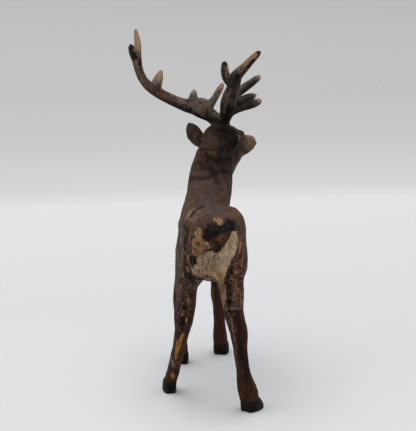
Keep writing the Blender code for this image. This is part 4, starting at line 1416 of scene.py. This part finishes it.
    def _drawn_out(self, places: Array, way: Array, width: float, length: float, seed: int) -> Array:
        """Noise drawn out along the hair.

        Args:
            places: The places, in millimetres.
            way: The way of the hair at each.
            width: How wide a tuft is.
            length: How long it is.
            seed: Which noise it is.

        Returns:
            The noise at each place, about -1 to 1.
        """
        taps = np.linspace(-0.5, 0.5, self.tuft_taps) * length
        total = sum(lattice_noise(places + way * tap, width, seed) for tap in taps)
        return np.clip(total / self.tuft_taps**0.5, -self.tuft_limit, self.tuft_limit)

    def _lay_out_paint(self, obj: bpy.types.Object) -> None:
        """Writes how far inside each painted area every vertex lies.

        Args:
            obj: The casting.
        """
        places, _ = self._read(obj)
        skin = self._skin(obj, places)
        depths = {layer: np.full(len(places), -self.paint_reach) for layer in Layer}
        for mark in self.paintwork:
            depths[mark.layer] = np.maximum(depths[mark.layer], mark.depth_inside(places, skin))
        for tip, pale, scorched in self.tine_ends:
            gap = np.linalg.norm(places - np.array(tip), axis=1)
            depths[Layer.HORN] = np.maximum(depths[Layer.HORN], pale - gap)
            depths[Layer.SCORCH] = np.maximum(depths[Layer.SCORCH], scorched - gap)
        for name in sorted({layer.value[0] for layer in Layer}):
            packed = np.zeros((len(places), 3))
            for layer in Layer:
                if layer.value[0] == name:
                    packed[:, layer.value[1]] = np.clip(depths[layer], -self.paint_reach, self.paint_reach)
            self._write(obj, name, packed)


@dataclass(frozen=True)
class StudioGround:
    """The floor: matt and pale, with painted light in its tones: lighter just under the figure to soften its
    shadow, greyer further off and paler again far away, standing in for the fall of the studio's light.

    Its tones go from near to far: how far from the figure in millimetres, then red, green and blue.
    """

    name: str = "studio_ground_painted_light"
    # Painted light: lighter under the figure against its shadow, then the studio's fall of light.
    tones: Tones = (
        (0, 223, 224, 226), (120, 216, 217, 219), (350, 222, 222, 222), (405, 208, 208, 208),
        (560, 199, 199, 199), (850, 195, 195, 195), (1600, 204, 204, 204), (2500, 216, 216, 216),
    )
    turn: float = 0.1

    def build(self) -> bpy.types.Material:
        """Makes the material.

        Returns:
            The finished material.
        """
        bench = Bench(self.name)
        place = bench.node("ShaderNodeTexCoord", {}, {}, "Object")
        across, back, _ = bench.channels(place)
        far = self.tones[-1][0]
        along = (back - across * self.turn) / (far * MM)
        aside = (across + back * self.turn) / (far * MM)
        along, aside = along * along, aside * aside
        fourth = along * along + aside * aside
        share = bench.node("ShaderNodeMath", {"operation": "POWER"}, {0: fourth, 1: 0.25})
        colour = bench.ramp(share, [(row[0] / far, *row[1:]) for row in self.tones])
        sockets = {"Base Color": colour, "Roughness": 0.9, "Specular IOR Level": 0.1}
        return bench.close(bench.node("ShaderNodeBsdfPrincipled", {}, sockets))


def turn_towards(obj: bpy.types.Object, target: Point) -> None:
    """Turns a lamp or a camera towards a target in metres, with its top upwards."""
    aim = Vector(target) - obj.location
    obj.rotation_euler = aim.to_track_quat("-Z", "Y").to_euler()


@dataclass(frozen=True)
class SoftLight:
    """A soft round light that faces the figure: its place and width in metres, and its power in watts."""

    name: str
    place: Point
    size: float
    power: float
    target: Point = (0.0, 0.0, 0.06)

    def build(self) -> None:
        """Hangs the light."""
        lamp = bpy.data.lights.new(self.name, "AREA")
        lamp.shape = "DISK"
        lamp.size = self.size
        lamp.energy = self.power
        obj = bpy.data.objects.new(self.name, lamp)
        obj.location = self.place
        turn_towards(obj, self.target)
        bpy.context.scene.collection.objects.link(obj)


@dataclass
class Studio:
    """The floor, the soft light and the air of the room; the floor's radius is in metres."""

    radius: float = 6.0
    lights: tuple[SoftLight, ...] = (
        SoftLight("overhead", (-0.2, 0.0, 2.4), 3.2, 47.0),
        SoftLight("side", (-1.0, -0.6, 0.6), 0.8, 0.8),
    )
    air: float = 0.5

    def build(self) -> None:
        """Sets up the studio round the figure."""
        self._lay_floor()
        for light in self.lights:
            light.build()
        self._fill_air()

    def _lay_floor(self) -> None:
        """Lays a wide round floor, which is no part of the figure."""
        bm = bmesh.new()
        bmesh.ops.create_circle(bm, cap_ends=True, segments=96, radius=self.radius)
        mesh = bpy.data.meshes.new("studio_floor")
        bm.to_mesh(mesh)
        bm.free()
        floor = bpy.data.objects.new("studio_floor", mesh)
        bpy.context.scene.collection.objects.link(floor)
        mesh.materials.append(StudioGround().build())

    def _fill_air(self) -> None:
        """Lights the room evenly from all round."""
        world = bpy.data.worlds.new("room")
        world.use_nodes = True
        back = world.node_tree.nodes["Background"]
        back.inputs["Color"].default_value = (1.0, 1.0, 1.0, 1.0)
        back.inputs["Strength"].default_value = self.air
        bpy.context.scene.world = world
        bpy.context.scene.view_settings.view_transform = "Standard"


@dataclass
class Viewpoint:
    """The camera: behind the stag and a little to its left, looking slightly down; in millimetres."""

    place: Point = (-51.37, -608.18, 196.7)
    target: Point = (-0.17, -23.48, 72.0)
    lens: float = 131.3
    sensor: float = 36.0

    def build(self) -> bpy.types.Object:
        """Sets up the camera.

        Returns:
            The camera's object.
        """
        camera = bpy.data.cameras.new("viewpoint")
        camera.lens = self.lens
        camera.sensor_width = self.sensor
        camera.clip_start = 0.02
        camera.clip_end = 20.0
        obj = bpy.data.objects.new("viewpoint", camera)
        obj.location = Vector(self.place) * MM
        turn_towards(obj, Vector(self.target) * MM)
        bpy.context.scene.collection.objects.link(obj)
        bpy.context.scene.camera = obj
        return obj


def main() -> None:
    """Builds the figure and its studio, and reports each piece."""
    logging.basicConfig(level=logging.INFO, format="%(name)s: %(message)s")
    casting = StagCasting().build()
    triangles = sum(len(p.vertices) - 2 for p in casting.data.polygons)
    LOG.info("%s: %d triangles", casting.name, triangles)
    Studio().build()
    LOG.info("studio: floor and lights")
    camera = Viewpoint().build()
    LOG.info("%s: lens %.1f mm", camera.name, camera.data.lens)


if __name__ == "__main__":
    main()
